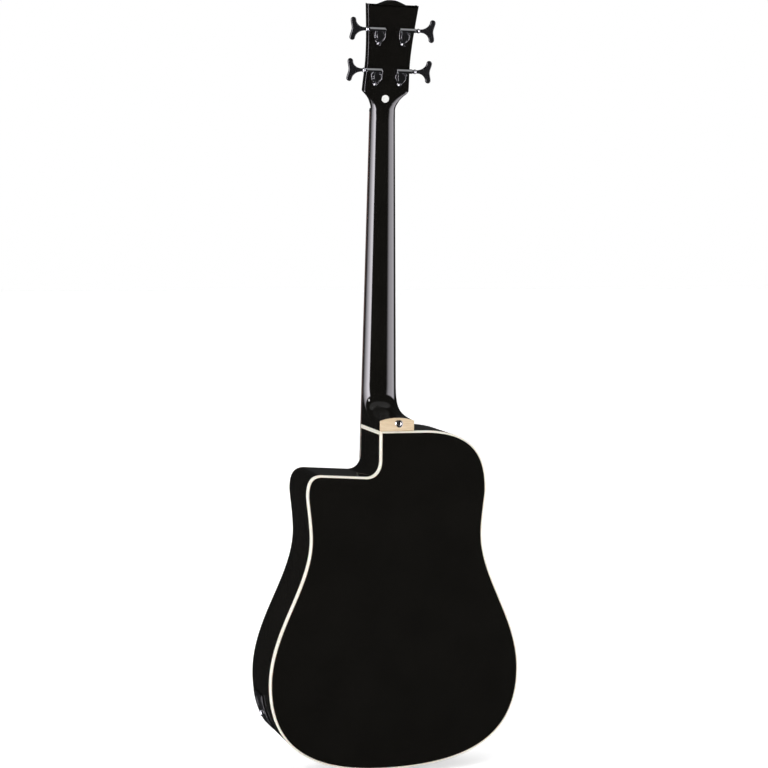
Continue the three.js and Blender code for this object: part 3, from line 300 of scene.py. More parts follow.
def smooth_table(table, steps):
    """A smooth run through the rows of a table, for its first column as given."""
    rows = np.array(table, float)
    x = rows[:, 0]
    slopes = np.gradient(rows, x, axis=0)
    for k in range(len(x)):
        if 0 < k < len(x) - 1:
            rises = (rows[k] - rows[k - 1]) * (rows[k + 1] - rows[k])
            slopes[k][rises <= 0] = 0
    out = []
    for k in range(len(x) - 1):
        width = x[k + 1] - x[k]
        for t in np.arange(steps) / steps:
            out.append(
                (2 * t**3 - 3 * t**2 + 1) * rows[k]
                + (t**3 - 2 * t**2 + t) * width * slopes[k]
                + (3 * t**2 - 2 * t**3) * rows[k + 1]
                + (t**3 - t**2) * width * slopes[k + 1]
            )
    out.append(rows[-1])
    return np.array(out)


def inset(path, distance, closed):
    """The path moved to its left by a distance, with mitred corners."""
    steps = np.roll(path, -1, 0) - path
    normals = np.stack((-steps[:, 1], steps[:, 0]), 1)
    normals /= np.linalg.norm(normals, axis=1)[:, None] + 1e-12
    before = np.roll(normals, 1, 0)
    if not closed:
        before[0] = normals[0]
        normals[-1] = before[-1]
    mitre = (before + normals) / (1 + (before * normals).sum(1))[:, None]
    return path + mitre * distance


def along_body(share):
    return BODY_TOP - share * BODY_LENGTH


def rim_depth(z):
    return DEPTH_AT_HEEL + (DEPTH_AT_TAIL - DEPTH_AT_HEEL) * (BODY_TOP - z) / BODY_LENGTH


def neck_half(z):
    return (NUT_WIDTH + (HEEL_WIDTH - NUT_WIDTH) * z / BODY_TOP) / 2


def side_run():
    tail = pair(0, BODY_TAIL)
    lower = pair(LOWER_WIDTH / 2, along_body(PLACES["lower"]))
    waist = pair(WAIST_WIDTH / 2, along_body(PLACES["waist"]))
    upper = pair(UPPER_WIDTH / 2, along_body(PLACES["upper"]))

    def pull(share, a, b):
        return pair(0, share * (b[1] - a[1]))

    return chain(
        bend(tail, pair(lower[0] * TAIL_PULLS[0], 0), lower, pull(TAIL_PULLS[1], lower, tail), 10 * FINE),
        bend(lower, pull(LOWER_PULLS[0], lower, waist), waist, pull(LOWER_PULLS[1], waist, lower), 8 * FINE),
        bend(waist, pull(WAIST_PULLS[0], waist, upper), upper, pull(WAIST_PULLS[1], upper, waist), 5 * FINE),
    )


def shoulder_run(upper):
    shoulder = pair(SHOULDER_REACH, BODY_TOP - SHOULDER_DROP)
    reach = SHOULDER_PULLS[1] * (upper[0] - shoulder[0])
    rise = pair(0, SHOULDER_PULLS[0] * (shoulder[1] - upper[1]))
    return bend(upper, rise, shoulder, pair(reach, -SHOULDER_SLOPE * reach), 9 * FINE)


def cutaway_run(upper):
    foot = along_body(SHELF_PLACE)
    horn = pair(upper[0] - HORN_WIDTH, foot + SHELF_RISE)
    corner = pair(WALL_X + CORNER_WIDTH, foot)
    wall = pair(WALL_X, foot + CORNER_HEIGHT)
    rise = pair(0, HORN_PULL * (horn[1] - upper[1]))
    inward, up = pair(-CORNER_PULL * CORNER_WIDTH, 0), pair(0, -CORNER_PULL * CORNER_HEIGHT)
    return chain(
        bend(upper, rise, horn, pair(HORN_PULL * HORN_WIDTH, 0), 5 * FINE),
        np.linspace(horn, corner, FINE),
        bend(corner, inward, wall, up, 5 * FINE),
        np.linspace(wall, pair(WALL_X, BODY_TOP), FINE),
    )


RISING = side_run()
BASS_RUN = chain(mirrored(shoulder_run(RISING[-1])), mirrored(RISING))
TREBLE_RUN = chain(RISING, cutaway_run(RISING[-1]))
RIM = chain(BASS_RUN, TREBLE_RUN)
RAIL = inset(RIM, RAIL_INSET, True)


def crossing(path, height):
    """Where a path passes a height: the number of its next point, and the place."""
    k = next(k for k in range(1, len(path)) if (path[k][1] - height) * (path[k - 1][1] - height) <= 0)
    return k, mix(path[k - 1], path[k], (height - path[k - 1][1]) / (path[k][1] - path[k - 1][1]))


def stretch(path, start, end):
    """The piece of a path between two heights, with new points at both ends."""
    within = [place for place in path if (place[1] - start) * (place[1] - end) < 0]
    return np.array([crossing(path, start)[1], *within, crossing(path, end)[1]])


def side_frame(path, height, depth):
    """A frame on a side of the body: X points out of it, and Z runs along it."""
    nearby = stretch(path, height, height + SEAM)
    start, end = nearby[0], nearby[-1]
    out = pair(end[1] - start[1], start[0] - end[0])
    out /= np.linalg.norm(out)
    if out[0] * start[0] < 0:
        out = -out
    rows = (out[0], 0, -out[1], start[0]), (0, 1, 0, depth), (out[1], 0, out[0], start[1]), (0, 0, 0, 1)
    return Matrix(rows)


HEAD_FRAME = Matrix.Translation((0, 0, NUT_THICKNESS)) @ Matrix.Rotation(-HEAD_TILT, 4, "X")


# Meshes
def mesh_of(name, part, matrix=None):
    """A mesh from points in millimetres, faces and, where it has two finishes, the slot of each face."""
    points, faces, *slots = part
    mesh = bpy.data.meshes.new(name)
    places = [Vector(v) if matrix is None else matrix @ Vector(v) for v in points]
    mesh.from_pydata([v * MM for v in places], [], [list(face) for face in faces])
    bm = bmesh.new()
    bm.from_mesh(mesh)
    if slots:
        for face, index in zip(bm.faces, slots[0]):
            face.material_index = index
    bmesh.ops.remove_doubles(bm, verts=bm.verts, dist=2e-6)
    bmesh.ops.recalc_face_normals(bm, faces=bm.faces)
    bm.to_mesh(mesh)
    bm.free()
    return mesh


def link(name, data):
    obj = bpy.data.objects.new(name, data)
    bpy.context.scene.collection.objects.link(obj)
    return obj


def piece(name, part, finish, node=None, bevel=None, cuts=(), body=ROOT, matrix=None, angle=35):
    """A piece with smooth faces that stay sharp at its edges. finish names its material, or its two.
    node is what it stands for. bevel is a width, segments and an angle. cuts lists closed shapes to take
    out of it, with their places."""
    mesh = mesh_of(name, part, matrix)
    for polygon in mesh.polygons:
        polygon.use_smooth = True
    mesh.set_sharp_from_angle(angle=math.radians(angle))
    obj = link(name, mesh)
    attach(obj, body)
    for shape, place in cuts:
        cut(obj, shape, place)
    if bevel:
        add_bevel(obj, *bevel)
    for key in [finish] if isinstance(finish, str) else finish:
        obj.data.materials.append(material_of(key))
    if node:
        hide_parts(node)


def joined(*parts):
    """Several (points, faces) in one."""
    verts, faces = [], []
    for points, rows in parts:
        start = len(verts)
        verts.extend(points)
        faces.extend([[start + k for k in face] for face in rows])
    return verts, faces


def moved(part, matrix):
    return [matrix @ Vector(v) for v in part[0]], part[1]


def loft(rows, closed=False, ends=True, ring=True):
    """Faces over rows of points, each a loop unless ring is off."""
    count = len(rows[0])
    verts = [tuple(v) for row in rows for v in row]
    faces = []
    spans = len(rows) if closed else len(rows) - 1
    for i in range(spans):
        a, b = i * count, (i + 1) % len(rows) * count
        for j in range(count if ring else count - 1):
            k = (j + 1) % count
            faces.append((a + j, b + j, b + k, a + k))
    if ends and not closed:
        faces.append(tuple(range(count)))
        faces.append(tuple(len(verts) - 1 - k for k in range(count)))
    return verts, faces


def slab(outline, front, back):
    """A flat outline in X and Z, from one depth to another."""
    rows = [[(x, y, z) for x, z in outline] for y in (front, back)]
    return loft(rows)


def lathe(profile, sides=ROUND, axis="Y"):
    """A turned shape along Y or X: pairs of radius and place along the axis."""
    rows = []
    for k in range(sides):
        a = 2 * math.pi * k / sides
        if axis == "X":
            rows.append([(p, r * math.cos(a), r * math.sin(a)) for r, p in profile])
        else:
            rows.append([(r * math.cos(a), p, r * math.sin(a)) for r, p in profile])
    return loft(rows, closed=True, ring=False)


def block(x, y, z):
    corners = [(x[0], z[0]), (x[1], z[0]), (x[1], z[1]), (x[0], z[1])]
    return slab(corners, y[0], y[1])


def tube(path, radius, sides=12):
    """A round tube along points, turning with them and closed at both ends."""
    points = [Vector(p) for p in path]
    turns = [2 * math.pi * j / sides for j in range(sides)]
    rows, side = [], None
    for k, place in enumerate(points):
        ahead = points[min(k + 1, len(points) - 1)] - points[max(k - 1, 0)]
        ahead.normalize()
        side = ahead.orthogonal() if side is None else side - ahead * side.dot(ahead)
        side.normalize()
        up = ahead.cross(side)
        rows.append([place + side * (radius * math.cos(a)) + up * (radius * math.sin(a)) for a in turns])
    return loft(rows)


def add_bevel(obj, width, segments=3, angle=35):
    bevel = obj.modifiers.new("edge", "BEVEL")
    bevel.width = width * MM
    bevel.segments = segments
    bevel.limit_method = "ANGLE"
    bevel.angle_limit = math.radians(angle)
    bevel.harden_normals = True


def cut(obj, shape, place=None):
    """Cuts a closed shape out of a piece."""
    cutter = link("cutter", mesh_of("cutter", shape, place))
    boolean = obj.modifiers.new("cut", "BOOLEAN")
    boolean.object = cutter
    boolean.operation = "DIFFERENCE"
    bpy.context.view_layer.update()
    found = obj.evaluated_get(bpy.context.evaluated_depsgraph_get())
    obj.data = bpy.data.meshes.new_from_object(found)
    obj.modifiers.remove(boolean)
    bpy.data.objects.remove(cutter)
    obj.data.set_sharp_from_angle(angle=math.radians(35))


def crossed(groove, place, turn):
    """Cuts for the cross in a screw's head: a groove, and the same at a right angle to it."""
    return [(groove, place @ Matrix.Rotation(a, 4, "Y")) for a in (turn, turn + math.pi / 2)]


def rounded(profile, radius, steps=3):
    """A lathe profile with its inner corners rounded."""
    points = [pair(*p) for p in profile]
    out = [points[0]]
    for before, place, after in zip(points, points[1:], points[2:]):
        a, b = before - place, after - place
        reach = min(radius, np.linalg.norm(a) * 0.45, np.linalg.norm(b) * 0.45)
        start = place + a / max(np.linalg.norm(a), 1e-9) * reach
        end = place + b / max(np.linalg.norm(b), 1e-9) * reach
        for k in range(steps + 1):
            t = k / steps
            out.append((1 - t) ** 2 * start + 2 * t * (1 - t) * place + t * t * end)
    out.append(points[-1])
    return [tuple(p) for p in out]


def hexagon(radius, front, back):
    """A six-sided nut along Y, measured to its corners."""
    turns = [math.pi * k / 3 for k in range(6)]
    return slab([(radius * math.cos(a), radius * math.sin(a)) for a in turns], front, back)


# Materials
def hex_color(value):
    """An sRGB colour written as hex, as linear red, green, blue and alpha."""
    parts = [int(value[k : k + 2], 16) / 255 for k in (0, 2, 4)]
    return (*[p / 12.92 if p <= 0.04045 else ((p + 0.055) / 1.055) ** 2.4 for p in parts], 1)


def add_node(tree, kind, settings=None, links=None):
    """Adds a node, with settings for its fields or sockets and links into its sockets."""
    made = tree.nodes.new(kind)
    for key, value in (settings or {}).items():
        if isinstance(key, str) and hasattr(made, key):
            setattr(made, key, value)
        else:
            made.inputs[key].default_value = value
    for key, socket in (links or {}).items():
        tree.links.new(socket, made.inputs[key])
    return made


def start_material(name, settings):
    """A material with its surface shader, and the object's own coordinates in metres."""
    material = bpy.data.materials.new(name)
    material.use_nodes = True
    tree = material.node_tree
    shader = tree.nodes["Principled BSDF"]
    for key, value in settings.items():
        shader.inputs[key].default_value = value
    place = add_node(tree, "ShaderNodeTexCoord").outputs["Object"]
    return material, tree, shader, place


def noise(tree, place, size, detail=2, roughness=0.5, stretch_by=(1, 1, 1)):
    """Noise whose features are about size millimetres across."""
    mapping = add_node(tree, "ShaderNodeMapping", {"Scale": stretch_by}, {"Vector": place})
    settings = {"Scale": 1 / (size * MM), "Detail": detail, "Roughness": roughness}
    return add_node(tree, "ShaderNodeTexNoise", settings, {"Vector": mapping.outputs[0]}).outputs["Fac"]


def ramp(tree, factor, low, high, dark, light):
    """Colours or greys spread between two values of a factor."""
    made = add_node(tree, "ShaderNodeValToRGB", None, {"Fac": factor})
    stops = made.color_ramp.elements
    stops[0].position, stops[1].position = low, high
    stops[0].color, stops[1].color = dark, light
    return made.outputs["Color"]


def between(tree, factor, low, high):
    """A number that runs from low to high as a factor goes from 0 to 1."""
    return add_node(tree, "ShaderNodeMapRange", {"To Min": low, "To Max": high}, {"Value": factor}).outputs[0]


def emboss(tree, shader, height, depth):
    """Raises the surface by a height map, to a depth in millimetres."""
    bump = add_node(tree, "ShaderNodeBump", {"Distance": depth * MM, "Strength": 1}, {"Height": height})
    tree.links.new(bump.outputs[0], shader.inputs["Normal"])


def mottle(made, cloud, spread, dark, light, wear, roughness, bumps, relief=None):
    """Gives a material its colours over a cloud, its roughness over its wear, and a fine relief."""
    material, tree, shader, _ = made
    tree.links.new(ramp(tree, cloud, *spread, dark, light), shader.inputs["Base Color"])
    tree.links.new(between(tree, wear, *roughness), shader.inputs["Roughness"])
    emboss(tree, shader, wear if relief is None else relief, bumps)
    return material


def dimmed(color, *shares):
    """A linear colour with its channels multiplied, by one share or by three."""
    return tuple(c * s for c, s in zip(color, shares if len(shares) == 3 else shares * 3)) + (1,)


def black_lacquer(color):
    """Polyester lacquer, sprayed and buffed: deep black, with a faint orange peel in its reflections."""
    settings = {"Roughness": 0.06, "IOR": 1.52, "Coat Weight": 0.0}
    made = start_material("black_lacquer_sprayed_buffed", settings)
    tree, place = made[1], made[3]
    dark, cloud, haze = hex_color(color), noise(tree, place, 60, 3), noise(tree, place, 9, 4, 0.6)
    peel = noise(tree, place, 5, 1)
    return mottle(made, cloud, (0.3, 0.7), dark, dimmed(dark, 1.25), haze, (0.035, 0.085), 0.004, peel)


def cream_binding(color):
    """Celluloid binding, scraped flush and polished: warm white, with a slight glow and faint scrapes."""
    settings = {"IOR": 1.5, "Subsurface Weight": 0.12, "Subsurface Scale": 0.004}
    made = start_material("cream_celluloid_scraped", settings)
    tree, place = made[1], made[3]
    light, cloud = hex_color(color), noise(tree, place, 35, 3)
    scrape = noise(tree, place, 1.2, 3, 0.6, (1, 1, 0.12))
    dark = dimmed(light, 0.93, 0.915, 0.88)
    return mottle(made, cloud, (0.25, 0.75), dark, light, scrape, (0.22, 0.36), 0.01)


def bare_wood(name, dark, light, grain, roughness, direction=(1, 1, 0.06), bumps=0.05):
    """Planed wood: growth lines along one direction, broken by fine pores."""
    made = start_material(name, {"IOR": 1.45})
    tree, place = made[1], made[3]
    lines = noise(tree, place, grain, 3, 0.65, direction)
    fibre = noise(tree, place, grain * 0.25, 4, 0.7, tuple(d if d >= 1 else d * 0.5 for d in direction))
    summed = {"operation": "MULTIPLY_ADD", 1: 0.35}
    both = add_node(tree, "ShaderNodeMath", summed, {0: fibre, 2: lines}).outputs[0]
    return mottle(made, both, (0.5, 0.85), hex_color(dark), hex_color(light), fibre, roughness, bumps, both)


def polished_metal(name, color, roughness):
    """Plated metal, buffed: clear reflections with faint wipe marks."""
    made = start_material(name, {"Metallic": 1})
    tree, place = made[1], made[3]
    base, cloud, wipe = hex_color(color), noise(tree, place, 6, 3), noise(tree, place, 0.8, 4, 0.7)
    return mottle(made, cloud, (0.3, 0.7), dimmed(base, 0.86), base, wipe, roughness, 0.002)


def moulded_plastic(name, color, roughness, texture=0.02):
    """Moulded ABS: an even colour with the fine spark texture of its mould."""
    made = start_material(name, {"IOR": 1.5})
    tree, place = made[1], made[3]
    base, cloud, spark = hex_color(color), noise(tree, place, 12, 3), noise(tree, place, 0.6, 2, 0.5)
    return mottle(made, cloud, (0.3, 0.7), dimmed(base, 0.85), base, spark, roughness, texture)


def polished_bone(color):
    """Bone, sawn and polished: off-white with short faint streaks along its length."""
    settings = {"IOR": 1.54, "Subsurface Weight": 0.15, "Subsurface Scale": 0.003}
    made = start_material("bone_sawn_polished", settings)
    light, streak = hex_color(color), noise(made[1], made[3], 0.8, 3, 0.6, (0.15, 1, 1))
    dark = dimmed(light, 0.86, 0.83, 0.76)
    return mottle(made, streak, (0.3, 0.65), dark, light, streak, (0.28, 0.4), 0.01)


def wound_string(name, core):
    """Phosphor bronze wire wound on steel. Windings of 0.5 mm are drawn at 0.9 mm, so that they show. The
    grooves between the windings are painted darker, as painted shade.
    """
    light = hex_color(core)
    made = start_material(name, {"Metallic": 1, "Base Color": light})
    tree, place = made[1], made[3]
    settings = {"wave_type": "BANDS", "bands_direction": "Z", "Scale": 1 / (0.9 * MM) / 3.2, "Distortion": 0}
    wave = add_node(tree, "ShaderNodeTexWave", settings, {"Vector": place}).outputs["Fac"]
    wear = noise(tree, place, 3, 3)
    # Painted shade: the colour falls to 0.45 of the bronze in the grooves between the windings
    return mottle(made, wave, (0.1, 0.6), dimmed(light, 0.45), light, wear, (0.24, 0.4), 0.12, wave)


def plain_paper(color):
    """Matt coated paper label: white, with faint fibres."""
    made = start_material("paper_label_coated", {"IOR": 1.45})
    light, fibre = hex_color(color), noise(made[1], made[3], 0.5, 4, 0.7)
    return mottle(made, fibre, (0.3, 0.7), dimmed(light, 0.92), light, fibre, (0.4, 0.6), 0.01)


MADE = {}


def material_of(key):
    """Each finish is made once, from the settings in the sidebar."""
    if key in MADE:
        return MADE[key]
    finishes = bpy.context.scene.bass_finishes
    makers = {
        "lacquer": (black_lacquer, as_hex(finishes.lacquer)),
        "binding": (cream_binding, as_hex(finishes.binding)),
        # Maple, shaped and clear lacquered: pale tan with soft grain and a satin shine
        "cap": (bare_wood, "maple_cap_lacquered", "dfc49f", "edd7b8", 2.2, (0.2, 0.34), (0.1, 1, 1), 0.01),
        # Spruce, planed: straight pale growth lines, about a millimetre apart
        "spruce": (bare_wood, "spruce_planed", "b98f5a", "dcc190", 1.4, (0.55, 0.75)),
        # Mahogany, sawn and sanded: red brown with short open pores
        "mahogany": (bare_wood, "mahogany_sanded", "5e3620", "8f5c3b", 1.8, (0.5, 0.7)),
        # Rosewood, oiled: dark brown streaks with fine open pores
        "rosewood": (bare_wood, "rosewood_oiled", "150c08", "3a241a", 1.6, (0.3, 0.5), (1, 1, 0.05), 0.04),
        # Bone, sawn and polished: off-white with faint streaks
        "bone": (polished_bone, "efe8d6"),
        # Chrome plate on brass, buffed: bright, with clear reflections
        "chrome": (polished_metal, "chrome_plated_buffed", "d6d7da", (0.05, 0.12)),
        # Nickel plate on brass, brushed soft: grey, with blurred reflections
        "nickel": (polished_metal, "nickel_plated_brushed", "b9b8b5", (0.16, 0.28)),
        # Black ABS keys, moulded and polished: a soft grey sheen on black
        "black_key": (moulded_plastic, "black_key_polished", "19191b", (0.14, 0.24), 0.004),
        # Nickel silver fret wire, crowned and polished: warm grey
        "fret": (polished_metal, "nickel_silver_drawn", "c4beb0", (0.12, 0.24)),
        # Tinned steel, rolled: dull grey
        "steel": (polished_metal, "steel_tinned", "9a9c9f", (0.25, 0.4)),
        # Black ABS, moulded in a smooth tool: black with a soft shine
        "black_abs": (moulded_plastic, "black_abs_moulded", "151517", (0.2, 0.32), 0.01),
        # Black ABS knobs and inlays, moulded in an etched tool: dull black
        "black_knob": (moulded_plastic, "black_knob_moulded", "141416", (0.28, 0.42)),
        # White ink, printed on ABS: flat pale grey
        "white_mark": (moulded_plastic, "white_ink_printed", "d8d8d4", (0.4, 0.55), 0.004),
        # Coated paper, cut: plain matt white
        "paper": (plain_paper, "f1f1ee"),
        # Phosphor bronze, wound: golden brown with fine turns across, and painted shade in the grooves
        # between them
        "string": (wound_string, "phosphor_bronze_wound", "b78a57"),
        # Mother of pearl, cut and polished: milky, with soft bands
        "pearl": (polished_bone, "dfe3df"),
    }
    make, *values = makers[key]
    MADE[key] = make(*values)
    return MADE[key]


def as_hex(color):
    """An sRGB colour from the sidebar, as hex."""
    return "".join(f"{round(max(0, min(1, c)) * 255):02x}" for c in color)


# Body
def binding_ring(depth_at, sign, tall, edge):
    """A strip round the rim, from an edge of the body along its depth, with its outer edge rounded."""
    edge = min(edge, 0.8 * tall)
    turns = [math.pi / 2 * k / 6 for k in range(7)]
    arc = [(edge - edge * math.cos(a), edge - edge * math.sin(a)) for a in turns]
    profile = [(0, tall), *arc, (BINDING_WIDTH, 0), (BINDING_WIDTH, tall)]
    paths = [inset(RIM, inward, True) for inward, _ in profile]
    rows = []
    for k in range(len(RIM)):
        places = [path[k] for path in paths]
        rows.append([(x, depth_at(z) + sign * deep, z) for (x, z), (_, deep) in zip(places, profile)])
    return loft(rows, closed=True)


def arch(spots):
    """How far an evenly loaded skin over the outline bulges, at rings of places from its middle out to its
    edge. It gives the back an even arch. The heights are found step by step, with conjugate gradients."""
    rings, count = len(spots) - 1, len(spots[0])
    places = np.concatenate([spots[0][:1], *spots[1:]])
    j = np.arange(count)
    n = (j + 1) % count
    fans = [(0 * j, 1 + j, 1 + n)]
    for k in range(rings - 1):
        a, b = 1 + k * count, 1 + (k + 1) * count
        fans += [(a + j, b + j, b + n), (a + j, b + n, a + n)]
    corners = np.concatenate([np.stack(fan, 1) for fan in fans])
    size = len(places)
    load, starts, ends, pulls = np.zeros(size), [], [], []
    for turn in range(3):
        a, b, c = (corners[:, (turn + k) % 3] for k in range(3))
        u, v = places[b] - places[a], places[c] - places[a]
        area = np.abs(u[:, 0] * v[:, 1] - u[:, 1] * v[:, 0])
        load += np.bincount(a, area / 6, size)
        pull = (u * v).sum(1) / area / 2
        starts += [b, c]
        ends += [c, b]
        pulls += [pull, pull]
    starts, ends, pulls = (np.concatenate(part) for part in (starts, ends, pulls))
    total = np.bincount(starts, pulls, size)
    free = np.arange(size) < size - count

    def stiffness(height):
        return free * (total * height - np.bincount(starts, pulls * height[ends], size))

    height = np.zeros(size)
    left = load * free
    step = left / total
    push = step
    for _ in range(1500):
        moved_by = stiffness(push)
        gain = (left * step).sum() / (push * moved_by).sum()
        height = height + gain * push
        after = left - gain * moved_by
        fresh = after / total
        push = fresh + push * (after * fresh).sum() / (left * step).sum()
        left, step = after, fresh
        if np.abs(left).max() < 1e-7 * load.max():
            break
    height *= BACK_SWELL / height.max()
    return np.concatenate([np.full((1, count), height[0]), height[1:].reshape(rings, count)])


def arched_plate(path, rings):
    """The back plate: its outer face, its inner face and the edge between them."""
    centre = pair(0, along_body(DOME_CENTRE))
    spots = [mix(centre, path, k / rings) for k in range(rings + 1)]
    outer = [[(x, rim_depth(z) + h, z) for (x, z), h in zip(*row)] for row in zip(spots, arch(spots))]
    inner = [[(x, y - BACK_THICKNESS, z) for x, y, z in row] for row in outer]
    skins = (outer[::-1], inner, (outer[-1], inner[-1]))
    verts, faces = joined(*[loft(rows, ends=False) for rows in skins])
    return verts, faces, [int(k >= rings * len(path)) for k in range(len(faces))]


def flat_plate(outline, holes, front, back):
    """A flat plate with round or shaped holes, filled between its outlines."""
    bm = bmesh.new()
    for loop in [outline, *holes]:
        verts = [bm.verts.new((x, front, z)) for x, z in loop]
        for k, vert in enumerate(verts):
            bm.edges.new((vert, verts[(k + 1) % len(verts)]))
    bmesh.ops.triangle_fill(bm, use_beauty=True, edges=bm.edges[:])
    bm.verts.ensure_lookup_table()
    bm.verts.index_update()
    flat = [tuple(v.co) for v in bm.verts]
    faces = [tuple(v.index for v in face.verts) for face in bm.faces]
    bm.free()
    count = len(flat)
    verts = flat + [(x, back, z) for x, _, z in flat]
    both = faces + [tuple(count + k for k in reversed(face)) for face in faces]
    start = 0
    for loop in [outline, *holes]:
        size = len(loop)
        for k in range(size):
            a, b = start + k, start + (k + 1) % size
            both.append((a, b, count + b, count + a))
        start += size
    slots = [0] * len(faces) + [1] * (len(both) - len(faces))
    return verts, both, slots


def curved_panel(path, reach, levels_at, window=None):
    """A panel bent along a path. reach is how far it lies inward of the path, as (outer, inner).
    levels_at gives its depths at a height. window is (lowest z, highest z), open between its second
    and third depth."""
    for height in window or ():
        k, spot = crossing(path, height)
        path = np.insert(path, k, spot, axis=0)
    outer, inner = (inset(path, distance, False) for distance in reach)
    rows = []
    for spot, o, i in zip(path, outer, inner):
        levels = levels_at(spot[1])
        rows.append([(o[0], y, o[1]) for y in levels] + [(i[0], y, i[1]) for y in reversed(levels)])
    count = len(rows[0])
    half = count // 2
    verts = [v for row in rows for v in row]
    faces, slots, was_open = [], [], False
    for k in range(len(rows) - 1):
        a, b = k * count, (k + 1) * count
        middle = (path[k][1] + path[k + 1][1]) / 2
        is_open = bool(window) and window[0] < middle < window[1]
        for j in range(count):
            if not (is_open and j in (1, half + 1)):
                n = (j + 1) % count
                faces.append((a + j, b + j, b + n, a + n))
                slots.append(0 if j < half - 1 else 1)
        if is_open:
            faces += [(a + j, b + j, b + count - 1 - j, a + count - 1 - j) for j in (1, 2)]
            slots += [1, 1]
        if is_open != was_open:
            faces.append((a + 1, a + 2, a + count - 3, a + count - 2))
            slots.append(1)
        was_open = is_open
    last = (len(rows) - 1) * count
    faces += [tuple(range(count)), tuple(last + k for k in reversed(range(count)))]
    return verts, faces, slots + [1, 1]


def side_levels(opening):
    """Depths across a side: its front edge, both edges of its opening, and its back edge."""
    front = TOP_BINDING_HEIGHT + SEAM
    return lambda z: [front, *opening, rim_depth(z) - BACK_BINDING_HEIGHT - SEAM]


class BASS_OT_body_shell(bpy.types.Operator):
    """Builds the lacquered back, sides and soundboard with their binding"""

    bl_idname = "bass.body_shell"
    bl_label = "Body shell"

    def execute(self, context):
        sizes = context.scene.bass_sizes
        bent, reach = ("lacquer", "mahogany"), (0, SIDE_THICKNESS)
        piece("back_shell", arched_plate(RAIL, sizes.dome_rings), bent, "back_plate")

        deep, long = PREAMP_HOLE
        share = RAIL_INSET / np.linalg.norm(RIM[-1] - BASS_RUN[0])
        path = np.concatenate([[mix(RIM[-1], BASS_RUN[0], share)], BASS_RUN])
        levels, window = side_levels(around(DEPTH_AT_HEEL / 2, deep)), around(along_body(PREAMP_PLACE), long)
        piece("bass_side_bent", curved_panel(path, reach, levels, window), bent, "bass_side")

        deep, long = SIDE_HOLE
        path = np.concatenate([TREBLE_RUN[:-1], [pair(WALL_X, BODY_TOP - CORNER_STRIP - SEAM)]])
        jack_z = BODY_TAIL + JACK_PLATE_RISE + BATTERY_RISE
        levels, window = side_levels(around(BATTERY_DEPTH, deep)), around(jack_z, long)
        piece("treble_side_bent", curved_panel(path, reach, levels, window), bent, "treble_side")

        edge = sizes.binding_edge
        ring = binding_ring(lambda z: 0, 1, TOP_BINDING_HEIGHT, edge)
        piece("front_binding_strip", ring, "binding", "top_binding")
        depths = (TOP_BINDING_HEIGHT + SEAM, DEPTH_AT_HEEL - BACK_BINDING_HEIGHT + SEAM)
        strip = block((WALL_X - BINDING_WIDTH, WALL_X), depths, (BODY_TOP - CORNER_STRIP, BODY_TOP))
        ring = joined(binding_ring(rim_depth, -1, BACK_BINDING_HEIGHT, edge), strip)
        piece("back_binding_strip", ring, "binding", "back_binding")

        turns, r = [2 * math.pi * k / (2 * ROUND) for k in range(2 * ROUND)], SOUNDHOLE_RADIUS
        hole = [(r * math.cos(a), SOUNDHOLE_Z + r * math.sin(a)) for a in turns]
        board = flat_plate(RAIL, [hole], 0, TOP_THICKNESS)
        piece("soundboard_plate", board, ("lacquer", "spruce"), "soundboard")
        return {"FINISHED"}


# Neck
def neck_row(base, edge, back, base_half, edge_half, power, sharpness, base_shift=0, edge_shift=0):
    """One row round the neck: its base line, its sides and its rounded back."""
    base, edge, back = (np.array(p, float) for p in (base, edge, back))
    row = [(base_shift + base_half, *base)]
    for k in range(NECK_STEPS + 1):
        turn = math.pi * k / NECK_STEPS
        across = math.copysign(abs(math.cos(turn)) ** (2 / power), math.cos(turn))
        depth, height = mix(edge, back, math.sin(turn) ** (2 / sharpness))
        row.append((edge_shift + edge_half * across, depth, height))
    row.append((base_shift - base_half, *base))
    return row


def foot_rows():
    """Rows from the foot of the headstock to the neck below the nut. The back turns from one to the other
    in a soft curve."""
    stations = [(rise * HEAD_FOOT, widening, power) for rise, widening, power in smooth_table(FOOT, 8)[::-1]]
    stations += [(-step, 0, mix(FOOT[0][2], NECK_POWER, step / 20)) for step in np.linspace(0, 20, 11)[1:]]
    rows = []
    for along, widening, power in stations:
        z = NUT_THICKNESS + along
        half = mix(NUT_WIDTH, HEAD_FOOT_WIDTH, min(widening, 1)) / 2 - 0.05
        deep = mix(NECK_DEPTH_AT_NUT, HEAD_THICKNESS, min(along / HEAD_FOOT / HEAD_FLAT, 1)) - 0.02
        if z < 0:
            half = neck_half(z)
        if along < 0:
            deep = mix(NECK_DEPTH_AT_NUT, NECK_DEPTH_AT_HEEL, max(0, z / (BODY_TOP + HEEL_RUN)))
        share = min(max((along + TURN_IN) / (TURN_IN + TURN_OUT), 0), 1)
        soft = share * share * (3 - 2 * share)
        row = []
        for x, depth, _ in neck_row((0.05, 0), (NECK_EDGE, 0), (deep, 0), half, half, power, power):
            tilted = mix(float(along >= 0), soft, min(depth / deep, 1))
            straight = Vector((x, depth, z))
            row.append(straight.lerp(HEAD_FRAME @ Vector((x, depth, along)), tilted))
        rows.append(row)
    return rows


